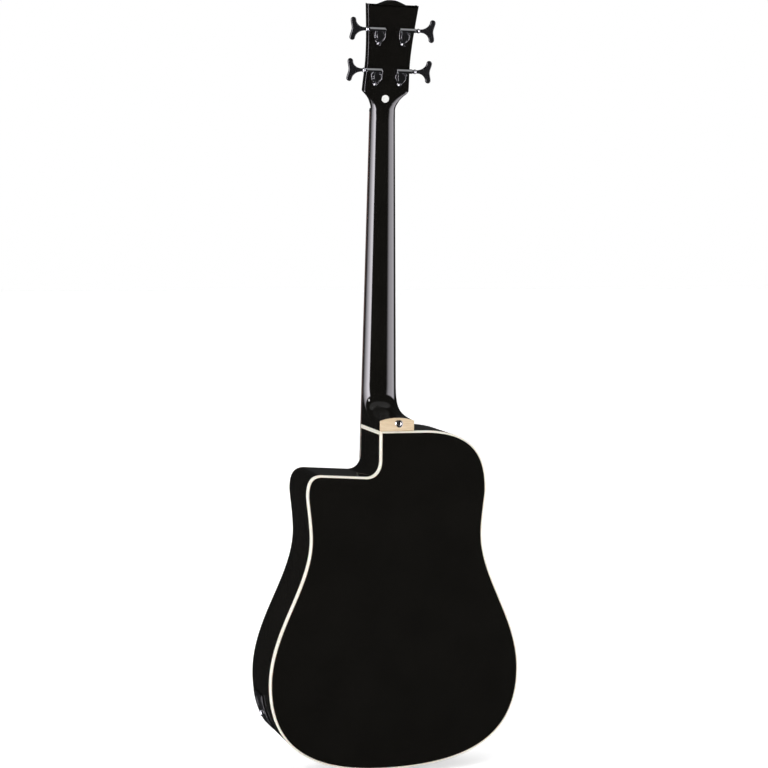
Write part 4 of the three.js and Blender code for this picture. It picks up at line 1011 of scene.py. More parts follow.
def heel_rows(steps=60, turn=25):
    start = BODY_TOP + HEEL_RUN

    def sweep(a, b, pulls):
        a, b = pair(*a), pair(*b)
        first = pair(0, pulls[0] * (b[1] - a[1]))
        last = pair(pulls[1] * (a[0] - b[0]), pulls[2] * (a[1] - b[1]))
        return bend(a, first, b, last, steps)

    backs = sweep((NECK_DEPTH_AT_HEEL, start), (HEEL_END, BODY_TOP + HEEL_CENTRE), HEEL_CENTRE_PULLS)
    edges = sweep((NECK_EDGE, start), (HEEL_END, BODY_TOP + HEEL_SIDE), HEEL_SIDE_PULLS)
    rows = []
    for k, (back, edge) in enumerate(zip(backs, edges)):
        if k < turn:
            base = pair(0, mix(start, HEEL_FACE, k / turn))
        else:
            base = pair(HEEL_END * (k - turn) / (steps - turn), HEEL_FACE)
        power = mix(NECK_POWER, HEEL_POWER, k / steps)
        sharpness = mix(NECK_POWER, HEEL_SHARPNESS, k / steps)
        share = (back[0] - NECK_DEPTH_AT_HEEL) / (HEEL_END - NECK_DEPTH_AT_HEEL)
        low = base[0] / HEEL_END
        half = mix(neck_half(edge[1]), CAP_WIDTH / 2, share)
        base_half = mix(neck_half(base[1]), CAP_WIDTH / 2, low)
        shifts = (CAP_SHIFT * low, CAP_SHIFT * share)
        rows.append(neck_row(base, edge, back, base_half, half, power, sharpness, *shifts))
    return rows


def head_outline():
    foot = pair(HEAD_FOOT_WIDTH / 2, HEAD_FOOT)
    waist = pair(HEAD_WAIST_WIDTH / 2, HEAD_WAIST)
    wave = smooth_table(np.array(CREST)[::-1], 5)[::-1]
    crest = np.array([pair(a * HEAD_TOP / 2, HEAD_LENGTH - dip * CREST_DIP) for a, dip in wave])
    low = HEAD_SIDE_PULL * (waist[1] - foot[1])
    high = HEAD_SIDE_PULL * (crest[0][1] - waist[1])
    edge = chain(
        bend(foot, pair(0, low), waist, pair(0, -low), 16),
        bend(waist, pair(0, high), crest[0], pair(-HEAD_FLARE * high, -high), 20),
        crest,
    )
    return chain(edge, mirrored(edge))


class BASS_OT_neck(bpy.types.Operator):
    """Builds the neck with its heel and headstock, and the heel cap"""

    bl_idname = "bass.neck"
    bl_label = "Neck, heel and headstock"

    def execute(self, context):
        sizes = context.scene.bass_sizes
        piece("neck_shaft", loft([*foot_rows(), *heel_rows()]), "lacquer", "neck", angle=50)
        head = slab(head_outline(), 0, HEAD_THICKNESS)
        piece("headstock_plate", head, "lacquer", "neck", (sizes.head_edge, 4), matrix=HEAD_FRAME)
        cap = slab([(x, z) for x, _, z in heel_rows()[-1]], HEEL_END, DEPTH_AT_HEEL)
        piece("heel_cap_plate", cap, "cap", "heel_cap", (sizes.cap_edge, 3))
        return {"FINISHED"}


# Fretboard, nut and strings
def board_height(x):
    return x * x / (2 * BOARD_RADIUS) - BOARD_THICKNESS


def board_row(half, z, lift, foot=None):
    """The board's curved face across its width, closed along a line or a lower copy of the face."""
    across = [mix(half, -half, k / BOARD_STEPS) for k in range(BOARD_STEPS + 1)]
    top = [(x, board_height(x) - lift, z) for x in across]
    if foot is None:
        return [(half, 0, z), *top, (-half, 0, z)]
    return top + [(x, board_height(x) + foot, z) for x in reversed(across)]


def fret_wire(number):
    """A crowned wire across the board: its rows run along the neck, over the crown."""
    z = -SCALE_LENGTH * (1 - 2 ** (-number / 12))
    half = neck_half(z) - FRET_INSET
    rows = []
    for k in range(9):
        turn = math.pi * k / 8
        lift = FRET_HEIGHT * math.sin(turn)
        rows.append(board_row(half - 0.5 * lift, z + FRET_WIDTH / 2 * math.cos(turn), lift, 0.1))
    return loft(rows)


def board_dots():
    dots = []
    for number in (3, 5, 7, 9, 12, 15, 17, 19):
        z = -SCALE_LENGTH * (2 - 2 ** (-number / 12) - 2 ** (-(number - 1) / 12)) / 2
        for x in (-11, 11) if number == 12 else (0,):
            face = board_height(x)
            disc = lathe([(0, face + 0.6), (3, face + 0.6), (3, face - 0.04), (0, face - 0.05)], 32)
            dots.append(moved(disc, Matrix.Translation((x, 0, z))))
        for shift in (-3, 3) if number == 12 else (0,):
            half = neck_half(z)
            dot = lathe([(0, 0.5), (1.1, 0.5), (1.1, -0.04), (0, -0.05)], 20, "X")
            dots.append(moved(dot, Matrix.Translation((-half, -BOARD_THICKNESS / 2, z + shift))))
    return joined(*dots)


STRINGS_AT_NUT = -BOARD_THICKNESS - FRET_HEIGHT - STRING_LIFT


def string_x(k, spacing):
    """How far a string lies from the middle line."""
    return ((STRING_COUNT - 1) / 2 - k) * spacing


def nut_outline(low):
    """Across the nut. Its ends curve down to a height that falls towards the headstock."""
    edge = NUT_WIDTH / 2
    drop = NUT_HEIGHT - low
    wide = min(drop, 4)
    turns = [math.pi / 2 * k / 6 for k in range(7)]
    corner = [(edge - wide * (1 - math.cos(a)), -low - drop * math.sin(a)) for a in turns]
    points = [(edge, 0), *corner]
    for k, radius in enumerate(STRING_RADII):
        x, half = string_x(k, NUT_SPACING), radius + SLOT_CLEARANCE
        middle = STRINGS_AT_NUT + 0.1 - half
        bowl = [(x + half * math.cos(a), middle + half * math.sin(a)) for a in np.linspace(0, math.pi, 7)]
        points += [(x + half, -NUT_HEIGHT), *bowl, (x - half, -NUT_HEIGHT)]
    return [*points, *[(-x, y) for x, y in reversed(corner)], (-edge, 0)]


def string_path(k):
    """From its turns round the post, over nut and saddle, down into the bridge."""
    radius = STRING_RADII[k]
    hand, height = TUNERS[k]
    nut_x, saddle_x = string_x(k, NUT_SPACING), string_x(k, STRING_SPACING)
    nut_y = STRINGS_AT_NUT - radius
    saddle_y = -BRIDGE_HEIGHT - SADDLE_RISE - 0.1 - radius
    coil = POST_WAIST + radius + 0.1
    path = []
    turns, steps = STRING_TURNS, 60
    for j in range(steps + 1):
        angle = hand * (2 * math.pi * turns * (1 - j / steps)) + (math.pi if hand > 0 else 0)
        deep = -STRING_ON_POST + (j / steps - 0.6) * turns * 2 * radius * 1.04
        spot = (hand * TUNER_SPREAD / 2 + coil * math.cos(angle), deep, height - coil * math.sin(angle))
        path.append(HEAD_FRAME @ Vector(spot))
    corners = [
        Vector((nut_x, nut_y, NUT_THICKNESS + radius)),
        Vector((nut_x, nut_y, -radius)),
        Vector((saddle_x, saddle_y, SADDLE_Z + SADDLE_WIDTH / 2)),
        Vector((saddle_x, saddle_y, SADDLE_Z - SADDLE_WIDTH / 2)),
        Vector((saddle_x, -BRIDGE_HEIGHT - 0.5, PIN_Z + PIN_HEAD_RADIUS + radius)),
        Vector((saddle_x, 0, PIN_Z + PIN_HEAD_RADIUS + radius - 1)),
    ]
    whole = [path[-1], *corners]
    for a, b, c in zip(whole, whole[1:], whole[2:]):
        before, after = (a - b).normalized(), (c - b).normalized()
        reach = min(STRING_BEND, (a - b).length * 0.4, (c - b).length * 0.4)
        start, end = b + before * reach, b + after * reach
        for t in (0, 0.25, 0.5, 0.75, 1):
            path.append((1 - t) ** 2 * start + 2 * t * (1 - t) * b + t * t * end)
    return [*path, whole[-1]]


class BASS_OT_fretboard(bpy.types.Operator):
    """Builds the fretboard with its frets and dots, the nut and the strings"""

    bl_idname = "bass.fretboard"
    bl_label = "Fretboard, nut and strings"

    def execute(self, context):
        board = loft([board_row(neck_half(z), z, 0) for z in np.linspace(0, BOARD_END, 30)])
        piece("fretboard_wood", board, "rosewood", "fretboard", (0.5, 2))
        wires = joined(*[fret_wire(k + 1) for k in range(FRET_COUNT)])
        piece("fret_wires", wires, "fret", "fretboard", angle=50)
        piece("position_dots", board_dots(), "pearl", "fretboard")
        ends = [(share * NUT_THICKNESS, low * BOARD_THICKNESS) for share, low in NUT_FALL]
        nut = loft([[(x, y, z) for x, y in nut_outline(low)] for z, low in ends])
        piece("nut_block", nut, "black_abs", "nut", (0.35, 2, 60))
        for k, radius in enumerate(STRING_RADII):
            string = tube(string_path(k), radius, 10)
            piece(f"wound_string_{k + 1}", string, "string", f"string_{k + 1}", angle=60)
        return {"FINISHED"}


# Bridge
def bridge_outline():
    tip = pair(BRIDGE_LENGTH / 2, 0.55 * BRIDGE_WIDTH / 2)
    body = pair(tip[0] / 2, BRIDGE_WIDTH / 2)
    pull = (tip[0] - body[0]) / 2
    quarter = bend(tip, pair(-pull, 0), body, pair(pull, 0), 16)
    upper = chain(quarter, mirrored(quarter))
    return np.concatenate([upper, -upper]) + (0, -SCALE_LENGTH - BRIDGE_DROP)


def bridge_pin(x):
    seat = -BRIDGE_HEIGHT
    head = [(0, seat - PIN_HEAD_HEIGHT)]
    for k in range(1, 9):
        turn = math.pi / 2 * k / 8
        head.append((PIN_HEAD_RADIUS * math.sin(turn), seat - PIN_HEAD_HEIGHT * math.cos(turn) * 0.9))
    shank = [(PIN_HEAD_RADIUS, seat), (2.7, seat + 0.2), (2.4, seat + 14), (0, seat + 14)]
    return moved(lathe(head + shank, 32), Matrix.Translation((x, 0, PIN_Z)))


def pin_dot(x):
    top = -BRIDGE_HEIGHT - PIN_HEAD_HEIGHT * 0.9
    dot = lathe([(0, top - 0.12), (1.1, top - 0.1), (1.3, top + 0.4), (0, top + 0.4)], 24)
    return moved(dot, Matrix.Translation((x, 0, PIN_Z)))


class BASS_OT_bridge(bpy.types.Operator):
    """Builds the bridge with its saddle and pins, and the rosette round the soundhole"""

    bl_idname = "bass.bridge"
    bl_label = "Bridge and rosette"

    def execute(self, context):
        half = SADDLE_LENGTH / 2
        slot_z = around(SADDLE_Z, SADDLE_WIDTH / 2 + 0.15)
        slot = block((-half - 0.2, half + 0.2), (-BRIDGE_HEIGHT - 4, -2), slot_z)
        bridge = slab(bridge_outline(), -BRIDGE_HEIGHT, 0)
        piece("bridge_wood", bridge, "rosewood", "bridge", (1.6, 4, 50), [(slot, None)])
        depths = (-BRIDGE_HEIGHT - SADDLE_RISE, -3.7)
        saddle = block((-half, half), depths, around(SADDLE_Z, SADDLE_WIDTH / 2))
        piece("saddle_bone", saddle, "bone", "saddle", (1.1, 4))
        for k in range(STRING_COUNT):
            x = string_x(k, STRING_SPACING)
            piece(f"pin_{k + 1}", bridge_pin(x), "bone", f"bridge_pin_{k + 1}")
            piece(f"pin_dot_{k + 1}", pin_dot(x), "black_knob")
        add_rosette()
        return {"FINISHED"}


def add_rosette():
    """Rings of cream and black, let into the soundboard and level with it."""
    radius = SOUNDHOLE_RADIUS + ROSETTE_GAP
    for k, width in enumerate(ROSETTE_WIDTHS):
        profile = [(radius, 1.1), (radius + width, 1.1), (radius + width, -0.03), (radius, -0.03)]
        ring = moved(lathe([*profile, profile[0]], 4 * ROUND), Matrix.Translation((0, 0, SOUNDHOLE_Z)))
        piece(f"rosette_ring_{k + 1}", ring, "binding" if k % 2 == 0 else "black_knob", "rosette")
        radius += width


# Headstock fittings
def key_outline():
    stem = BAR_OUTER + KEY_COLLAR
    lobe = pair(stem + KEY_REACH - KEY_LOBE, KEY_HEIGHT / 2 - KEY_LOBE)
    start = pair(stem + 0.06 * KEY_REACH, 2.3)
    inner = pair(lobe[0] - KEY_LOBE, lobe[1])
    leave = pair(0.75 * (inner[0] - start[0]), 0)
    swell = bend(start, leave, inner, pair(0, 0.25 * (start[1] - inner[1])), 16)
    round_end = [lobe + KEY_LOBE * pair(math.cos(a), math.sin(a)) for a in np.linspace(math.pi, 0, 17)[1:]]
    edge = bend(round_end[-1], pair(0, -4), pair(stem + 0.9 * KEY_REACH, 0), pair(0, 4), 10)[1:]
    half = np.concatenate([[pair(stem, 2.3)], swell, round_end, edge])
    other = (half[:-1] * (1, -1))[::-1]
    return np.concatenate([half, other])


def tuner_frame(k):
    hand, height = TUNERS[k]
    flip = Matrix.Diagonal((hand, 1, 1, 1))
    return HEAD_FRAME @ Matrix.Translation((hand * TUNER_SPREAD / 2, 0, height)) @ flip


CASING_BASE = HEAD_THICKNESS + SEAM
LUG_FACE = CASING_BASE + HOUSING_FLOOR
WORM_DEPTH = LUG_FACE + SEAM + 2.5


def casing_bar():
    """The worm's housing: a bar with a chamfer along its upper edge, and a rod from it to the key."""
    face, low, high = WORM_DEPTH + BAR_RADIUS, WORM_RISE - BAR_RADIUS, WORM_RISE + BAR_RADIUS
    upper = [(face, high - BAR_CHAMFER), (face - BAR_CHAMFER, high)]
    section = [(CASING_BASE, low), (face, low), *upper, (CASING_BASE, high)]
    rows = [[(x, y, z) for y, z in section] for x in (-BAR_INNER, BAR_OUTER - 2.5)]
    start, tip = BAR_OUTER - 3, BAR_OUTER
    rod = [(0, start), (BAR_RADIUS, start), (BAR_RADIUS, tip - 0.2), (BAR_RADIUS - 0.2, tip), (0, tip)]
    rod = lathe(rod, 32, "X")
    return joined(loft(rows), moved(rod, Matrix.Translation((0, WORM_DEPTH, WORM_RISE))))


def casing_shield():
    """The gear's housing: a rounded shield with a raised round cap."""
    r, top = HOUSING_RADIUS, CASING_BASE + GEAR_CAP_HEIGHT
    bowl = [(r * math.cos(a), r * math.sin(a)) for a in np.linspace(math.pi, 2 * math.pi, 33)]
    outline = [(r, SHIELD_FOOT), (-r, SHIELD_FOOT), *bowl]
    seat = top - 4.8
    cap = lathe([(0, seat), (GEAR_CAP_RADIUS, seat), (GEAR_CAP_RADIUS, top), (0, top)], ROUND)
    return joined(slab(outline, CASING_BASE, CASING_BASE + SHIELD_RISE), cap)


def casing_lug():
    """The lug below the shield, wider where it leaves it."""
    r, turns = LUG_RADIUS, np.linspace(0, -math.pi, 17)
    foot = [(r * math.cos(a), -LUG_DROP + r * math.sin(a)) for a in turns]
    outline = [(-5.6, -4), (5.6, -4), (4.4, -7.6), *foot, (-4.4, -7.6)]
    return slab(outline, CASING_BASE, LUG_FACE)


def lug_screw():
    profile = [(0, -0.5), (1.9, -0.5), (1.9, 0.5), (1.6, 0.75), (0, 0.85)]
    return moved(lathe(profile, 24), Matrix.Translation((0, LUG_FACE, -LUG_SCREW_DROP)))


def bushing():
    """The dress washer and the threaded sleeve on the headstock's face."""
    face = -SEAM
    bore, edge = POST_RADIUS + 0.2, face - FLANGE_THICKNESS
    sleeve = [(bore, 2), (SLEEVE_RADIUS, 2), (SLEEVE_RADIUS, face), (FLANGE_RADIUS, face)]
    washer = [(FLANGE_RADIUS, face - 0.8), (FLANGE_RADIUS - 1.4, face - 1.5), (7, edge), (bore, edge)]
    return lathe([*sleeve, *washer, sleeve[0]], ROUND)


def key_collar():
    """The round collar between the key and its bar, with softened corners."""
    low, high, r = BAR_OUTER + SEAM, BAR_OUTER + SEAM + KEY_COLLAR, KEY_COLLAR_RADIUS
    profile = rounded([(0, low), (r, low), (r, high), (2.4, high + 0.8), (0, high + 0.8)], 0.5)
    return moved(lathe(profile, 32, "X"), Matrix.Translation((0, WORM_DEPTH, WORM_RISE)))


def post_profile():
    seat, tip, dip = -STRING_ON_POST, -POST_HEIGHT, POST_RADIUS - POST_WAIST
    turns = np.linspace(0, math.pi, 13)
    waist = [(POST_RADIUS - dip * math.sin(a), seat + 4.5 - 9 * a / math.pi) for a in turns]
    return [(0, 14), (POST_RADIUS, 14), *waist, (POST_RADIUS, tip + 0.7), (POST_RADIUS - 0.7, tip), (0, tip)]


class BASS_OT_machine_heads(bpy.types.Operator):
    """Builds the four machine heads: casings, keys with their collars, and posts"""

    bl_idname = "bass.machine_heads"
    bl_label = "Machine heads"

    def execute(self, context):
        half, tip = POST_SLOT_WIDTH / 2, -POST_HEIGHT
        post_slot = block((-half, half), (tip - 2, tip + POST_SLOT_DEPTH), (-8, 8))
        screw_slot = block((-0.35, 0.35), (LUG_FACE + 0.5, LUG_FACE + 2.4), (-14, -9))
        casings = (("bar", casing_bar(), 0.15), ("shield", casing_shield(), 0.15), ("lug", casing_lug(), 0.1))
        blade = slab(key_outline(), *around(WORM_DEPTH, KEY_THICKNESS / 2))
        blade = moved(blade, Matrix.Translation((0, 0, WORM_RISE)))
        for k in range(STRING_COUNT):
            name, place = f"tuner_{k + 1}", tuner_frame(k)
            for part, shape, edge in casings:
                bevel = (edge, 2, 50)
                piece(f"{name}_{part}", shape, "chrome", f"{name}_housing", bevel, matrix=place, angle=25)
            piece(f"{name}_screw", lug_screw(), "chrome", cuts=[(screw_slot, place)], matrix=place)
            piece(f"{name}_washer", bushing(), "chrome", matrix=place)
            key, post = f"{name}_key", f"{name}_post"
            piece(f"{name}_blade", blade, "black_key", key, (1.3, 4, 50), body=key, matrix=place)
            piece(f"{name}_collar", key_collar(), "chrome", body=key, matrix=place)
            slots = [(post_slot, place)]
            piece(f"{name}_shaft", lathe(post_profile()), "chrome", post, None, slots, post, place)
        return {"FINISHED"}


def cover_outline():
    foot, tip = pair(12, 3), pair(5.5, 37.5)
    rise = pair(0, (tip[1] - foot[1]) / 2)
    end = pair(0, 43)
    curve = chain(
        bend(foot, rise, tip, -rise, 24),
        bend(tip, pair(0, 0.55 * (end[1] - tip[1])), end, pair(0.55 * tip[0], 0), 12),
    )
    return chain(curve, mirrored(curve))


def small_screw(radius, height):
    """A domed screw head along -Y."""
    turns = np.linspace(0, math.pi / 2, 7)
    dome = [(radius * math.cos(a), -height * math.sin(a)) for a in turns]
    return lathe([(0, 0.6), (radius, 0.6), *dome], 28)


class BASS_OT_headstock_fittings(bpy.types.Operator):
    """Builds the truss rod cover and the round label on the headstock"""

    bl_idname = "bass.headstock_fittings"
    bl_label = "Headstock fittings"

    def execute(self, context):
        cover = slab(cover_outline(), -SEAM - 2, -SEAM)
        piece("rod_cover_plate", cover, "black_abs", "truss_rod_cover", (0.6, 3), matrix=HEAD_FRAME)
        groove = block((-1.1, 1.1), (-0.9, -0.3), (-0.22, 0.22))
        for k, (x, z) in enumerate(((7.6, 6.6), (-7.6, 6.6), (0, 38.6))):
            place = HEAD_FRAME @ Matrix.Translation((x, -SEAM - 2, z))
            cross = crossed(groove, place, 0.5)
            piece(f"rod_cover_screw_{k + 1}", small_screw(1.7, 0.7), "chrome", cuts=cross, matrix=place)
        face, r = HEAD_THICKNESS + SEAM, LABEL_RADIUS
        profile = [(0, face), (r, face), (r, face + 0.3), (r - 0.1, face + 0.4), (0, face + 0.4)]
        place = HEAD_FRAME @ Matrix.Translation((LABEL_SHIFT, 0, LABEL_PLACE))
        piece("round_label", lathe(profile, 64), "paper", "headstock_label", matrix=place)
        return {"FINISHED"}


# Strap buttons and the fittings on the sides
def button_parts():
    """A turned strap button along Y, dished for its screw."""
    r, h = BUTTON_RADIUS, BUTTON_HEIGHT
    flare = bend(pair(0.8 * r, 1.2), pair(-0.3 * r, 0.6), pair(0.5 * r, 0.45 * h), pair(0, -1.4), 8)
    swell = bend(flare[-1], pair(0, 1.6), pair(0.94 * r, 0.78 * h), pair(-0.35 * r, -0.3), 8)[1:]
    rim = [(r, 0.83 * h), (r, 0.92 * h), (0.93 * r, 0.985 * h), (0.8 * r, h)]
    dish = [(0.62 * r, h), (0.6 * r, h - 0.8), (0, h - 0.8)]
    return lathe([(0, SEAM), (0.78 * r, SEAM), *map(tuple, flare), *map(tuple, swell), *rim, *dish])


def button_screw():
    h = BUTTON_HEIGHT
    return lathe([(0, h - 2), (3.1, h - 2), (3.1, h - 0.6), (2.2, h - 0.15), (0, h)], 32)


def add_strap_button(name, place):
    piece(f"{name}_button", button_parts(), "nickel", f"{name}_strap_button", matrix=place)
    groove = block((-1.7, 1.7), around(BUTTON_HEIGHT, 1), (-0.35, 0.35))
    piece(f"{name}_screw", button_screw(), "nickel", cuts=crossed(groove, place, 0.4), matrix=place)


def joint_frame(name):
    """X along a joint's axis, with its place in millimetres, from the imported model."""
    joint = next(j for j in frame["joints"] if j["name"] == name)
    out = Vector(joint["axis"]).normalized()
    depth = Vector((0, 1, 0))
    along = out.cross(depth)
    place = Vector(joint.get("pos_m", (0, 0, 0))) / MM
    return Matrix.Translation(place) @ Matrix((out, depth, along)).transposed().to_4x4()


def knob_parts():
    """A knob along X with fine ribs round it and a softly domed face."""
    foot = SEAM + PREAMP_THICKNESS + KNOB_GAP
    rows = []
    sides = KNOB_RIBS * 6
    profile = [(0, 0), (0.97, 0), (1, 0.06), (0.985, 0.8), (0.94, 0.93), (0.85, 0.99), (0.7, 1), (0, 0.97)]
    for k in range(sides):
        turn = 2 * math.pi * k / sides
        rib = 0.985 + 0.015 * math.cos(KNOB_RIBS * turn)
        row = []
        for wide, high in profile:
            radius = KNOB_RADIUS * wide * (rib if 0.05 < high < 0.9 else 1)
            row.append((foot + high * KNOB_HEIGHT, radius * math.cos(turn), radius * math.sin(turn)))
        rows.append(row)
    return loft(rows, closed=True, ring=False)


class BASS_OT_side_fittings(bpy.types.Operator):
    """Builds the preamp with its knobs, the jack plate with its sleeve and jack, and the strap buttons"""

    bl_idname = "bass.side_fittings"
    bl_label = "Side fittings"

    def execute(self, context):
        height = BODY_TOP + HEEL_BUTTON * HEEL_CENTRE
        add_strap_button("heel", Matrix.Translation((CAP_SHIFT, DEPTH_AT_HEEL, height)))
        tail = Matrix.Translation((0, DEPTH_AT_TAIL / 2, BODY_TAIL))
        add_strap_button("tail", tail @ Matrix.Rotation(-math.pi / 2, 4, "X"))
        add_preamp()
        add_jack_plate()
        return {"FINISHED"}


def add_preamp():
    middle, height = DEPTH_AT_HEEL / 2, along_body(PREAMP_PLACE)
    low, high = around(middle, PREAMP_WIDTH / 2)
    path = stretch(BASS_RUN, height + PREAMP_LENGTH / 2, height - PREAMP_LENGTH / 2)
    reach = (-SEAM - PREAMP_THICKNESS, -SEAM)
    panel = curved_panel(path, reach, lambda z: [low, middle, high])
    piece("preamp_plate", panel[:2], "black_abs", "preamp_housing", (0.8, 3, 50))
    deep, long = PREAMP_BOX
    box = block((-PREAMP_BOX_DEPTH, 0.4), (-deep, deep), (-long, long))
    place = side_frame(BASS_RUN, height, middle)
    piece("preamp_box", box, "black_abs", "preamp_housing", (1.2, 3), matrix=place)
    top = SEAM + PREAMP_THICKNESS + KNOB_GAP + KNOB_HEIGHT
    line = block((top - 0.4, top + 0.02), (-0.45, 0.45), (1.5, 6.2))
    for word in ("volume", "bass", "treble"):
        name, place = f"{word}_knob", joint_frame(f"{word}_turn")
        piece(f"{name}_cap", knob_parts(), "black_knob", name, body=name, matrix=place)
        piece(f"{name}_line", line, "white_mark", body=name, matrix=place)
        piece(f"{name}_marks", dial_marks(), "white_mark", matrix=place)


def dial_marks():
    """Short printed lines round a knob, over its turn. The first, middle and last are longer."""
    face = SEAM + PREAMP_THICKNESS
    marks = []
    for k in range(DIAL_MARKS):
        share = k / (DIAL_MARKS - 1)
        turn = math.radians((share - 0.5) * DIAL_SWEEP)
        tick = block((face - 0.2, face + 0.06), (-0.2, 0.2), (8.6, 10.2 if share in (0, 0.5, 1) else 9.6))
        marks.append(moved(tick, Matrix.Rotation(turn, 4, "X")))
    return joined(*marks)


def fitting_frame(height, depth):
    """A frame on the treble side, square to the battery's slide."""
    found = joint_frame("battery_slide")
    found.translation = side_frame(TREBLE_RUN, height, depth).translation
    return found


def bay_block(inner, outer, half):
    """A block along the battery's slide, by its half depth and half length."""
    deep, long = half
    return block((inner, outer), (-deep, deep), (-long, long))


def add_jack_plate():
    height = BODY_TAIL + JACK_PLATE_RISE
    deep, long = PLATE_HOLE
    path = stretch(TREBLE_RUN, *around(height, JACK_PLATE_LENGTH / 2))
    levels = [JACK_PLATE_FRONT, *around(BATTERY_DEPTH, deep), JACK_PLATE_FRONT + JACK_PLATE_WIDTH]
    reach = (0.25 - SEAM - JACK_PLATE_THICKNESS, -SEAM)
    panel = curved_panel(path, reach, lambda z: levels, around(height + BATTERY_RISE, long))
    piece("jack_plate_frame", panel[:2], "black_abs", "jack_plate", (0.6, 3, 50))
    bay = fitting_frame(height + BATTERY_RISE, BATTERY_DEPTH)
    sleeve = bay_block(-SLEEVE_DEPTH - SLEEVE_FLOOR, -0.5, SLEEVE_OUTSIDE)
    hollow = [(bay_block(-SLEEVE_DEPTH, 4, SLEEVE_INSIDE), bay)]
    piece("battery_sleeve", sleeve, "black_abs", "jack_plate", cuts=hollow, matrix=bay)
    jack = fitting_frame(height - JACK_DROP, JACK_DEPTH)
    face = SEAM + JACK_PLATE_THICKNESS + SEAM
    nut = moved(hexagon(6, face, face + 1.6), Matrix.Rotation(math.pi / 2, 4, "Z"))
    nut = moved(nut, Matrix.Diagonal((-1, 1, 1, 1)))
    piece("jack_nut", nut, "chrome", "output_jack", (0.35, 2), matrix=jack)
    lip, r, bore = face + 2.6, JACK_RADIUS, PLUG_RADIUS
    outside = [(0, -20), (5.8, -20), (5.8, -4.6), (r, -4.6), (r, lip - 0.3), (r - 0.3, lip)]
    inside = [(bore + 0.2, lip), (bore, lip - 0.2), (bore, -17), (0, -17)]
    piece("jack_barrel", lathe(outside + inside, ROUND, "X"), "chrome", "output_jack", matrix=jack)


class BASS_OT_inside(bpy.types.Operator):
    """Gives the blocks, linings, braces and hidden fittings their wood, metal or plastic"""

    bl_idname = "bass.inside"
    bl_label = "Inside of the body"

    def execute(self, context):
        finishes = {
            "spruce": ("lining", "brace", "tone_bar"),
            "mahogany": ("block", "bridge_plate"),
            "steel": ("truss_rod", "saddle_pickup", "battery"),
            "black_abs": ("battery_tray",),
        }
        for name, node in frame["nodes"].items():
            if node.hide_render:
                continue
            for key, words in finishes.items():
                if any(word in name for word in words):
                    node.data.materials.clear()
                    node.data.materials.append(material_of(key))
                    weld = node.modifiers.new("weld", "WELD")
                    weld.merge_threshold = 1e-5
                    if "lining" not in name:
                        add_bevel(node, 0.5, 2)
        return {"FINISHED"}


# Stage
class BASS_OT_stage(bpy.types.Operator):
    """Sets the camera, the floor, the soft lights and the white studio round the instrument"""

    bl_idname = "bass.stage"
    bl_label = "Studio"

    def execute(self, context):
        stage = context.scene.bass_stage
        add_camera(stage)
        add_floor()
        add_lights(stage)
        add_world(stage)
        context.scene.view_settings.view_transform = "Standard"
        return {"FINISHED"}


def aimed(turn, rise):
    """A direction from its turn round the instrument and its rise."""
    return Vector((math.sin(turn) * math.cos(rise), -math.cos(turn) * math.cos(rise), math.sin(rise)))


def add_camera(stage):
    azimuth, elevation, roll = stage.azimuth, stage.elevation, stage.roll
    back = aimed(azimuth, elevation)
    right = Vector((0, 0, 1)).cross(back).normalized()
    up = back.cross(right)
    tilted_right = right * math.cos(roll) + up * math.sin(roll)
    tilted_up = back.cross(tilted_right)
    camera = link("camera", bpy.data.cameras.new("camera"))
    camera.data.lens = stage.lens
    camera.data.sensor_width = 36
    place = Vector(stage.target) + back * stage.distance
    basis = Matrix((tilted_right, tilted_up, back)).transposed().to_4x4()
    camera.matrix_world = Matrix.Translation(place) @ basis
    camera.data.clip_end = 100
    bpy.context.scene.camera = camera


def add_floor():
    low = min(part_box(name)[0].z for name in frame["nodes"])
    mesh = bpy.data.meshes.new("floor")
    reach = 14
    corners = [(-reach, -reach, low), (reach, -reach, low), (reach, reach, low), (-reach, reach, low)]
    mesh.from_pydata(corners, [], [(0, 1, 2, 3)])
    floor = link("floor", mesh)
    material, tree, shader, place = start_material("white_floor_painted", {"Roughness": 0.8})
    speck = noise(tree, place, 30, 2)
    pale = ramp(tree, speck, 0.3, 0.7, hex_color("f4f4f4"), hex_color("fafafa"))
    tree.links.new(pale, shader.inputs["Base Color"])
    ray = add_node(tree, "ShaderNodeLightPath")
    glow = add_node(tree, "ShaderNodeEmission", {"Color": (1, 1, 1, 1), "Strength": 0.5})
    off = add_node(tree, "ShaderNodeEmission", {"Strength": 0.0})
    sources = {0: ray.outputs["Is Camera Ray"], 1: off.outputs[0], 2: glow.outputs[0]}
    seen = add_node(tree, "ShaderNodeMixShader", None, sources)
    both = add_node(tree, "ShaderNodeAddShader", None, {0: shader.outputs[0], 1: seen.outputs[0]})
    tree.links.new(both.outputs[0], tree.nodes["Material Output"].inputs["Surface"])
    mesh.materials.append(material)
    floor.visible_glossy = False


# Soft lights: turn from the camera and rise in degrees, distance and size in metres, share of the power
PANELS = {
    "panel_left": (-58, 6, 3.2, (1.4, 2.2), 1.6),
    "panel_right": (75, 6, 3.2, (1.4, 2.2), 1),
    "panel_over": (8, 62, 3.0, (1.8, 1.4), 0.8),
    "panel_front": (180, 30, 3.4, (2.0, 1.6), 0.9),
}
PANELS_MIDDLE = Vector((0, 0.05, -0.45))


def add_lights(stage):
    """Soft lights aimed at the middle of the instrument. The world draws their reflections."""
    for name, (turn, rise, distance, size, share) in PANELS.items():
        light = bpy.data.lights.new(name, "AREA")
        light.shape = "RECTANGLE"
        light.size, light.size_y = size
        light.energy = stage.panel_power * share
        lamp = link(name, light)
        back = aimed(stage.azimuth + math.radians(turn), math.radians(rise))
        lamp.location = PANELS_MIDDLE + back * distance
        lamp.rotation_mode = "QUATERNION"
        lamp.rotation_quaternion = back.to_track_quat("Z", "Y")
        lamp.visible_glossy = False


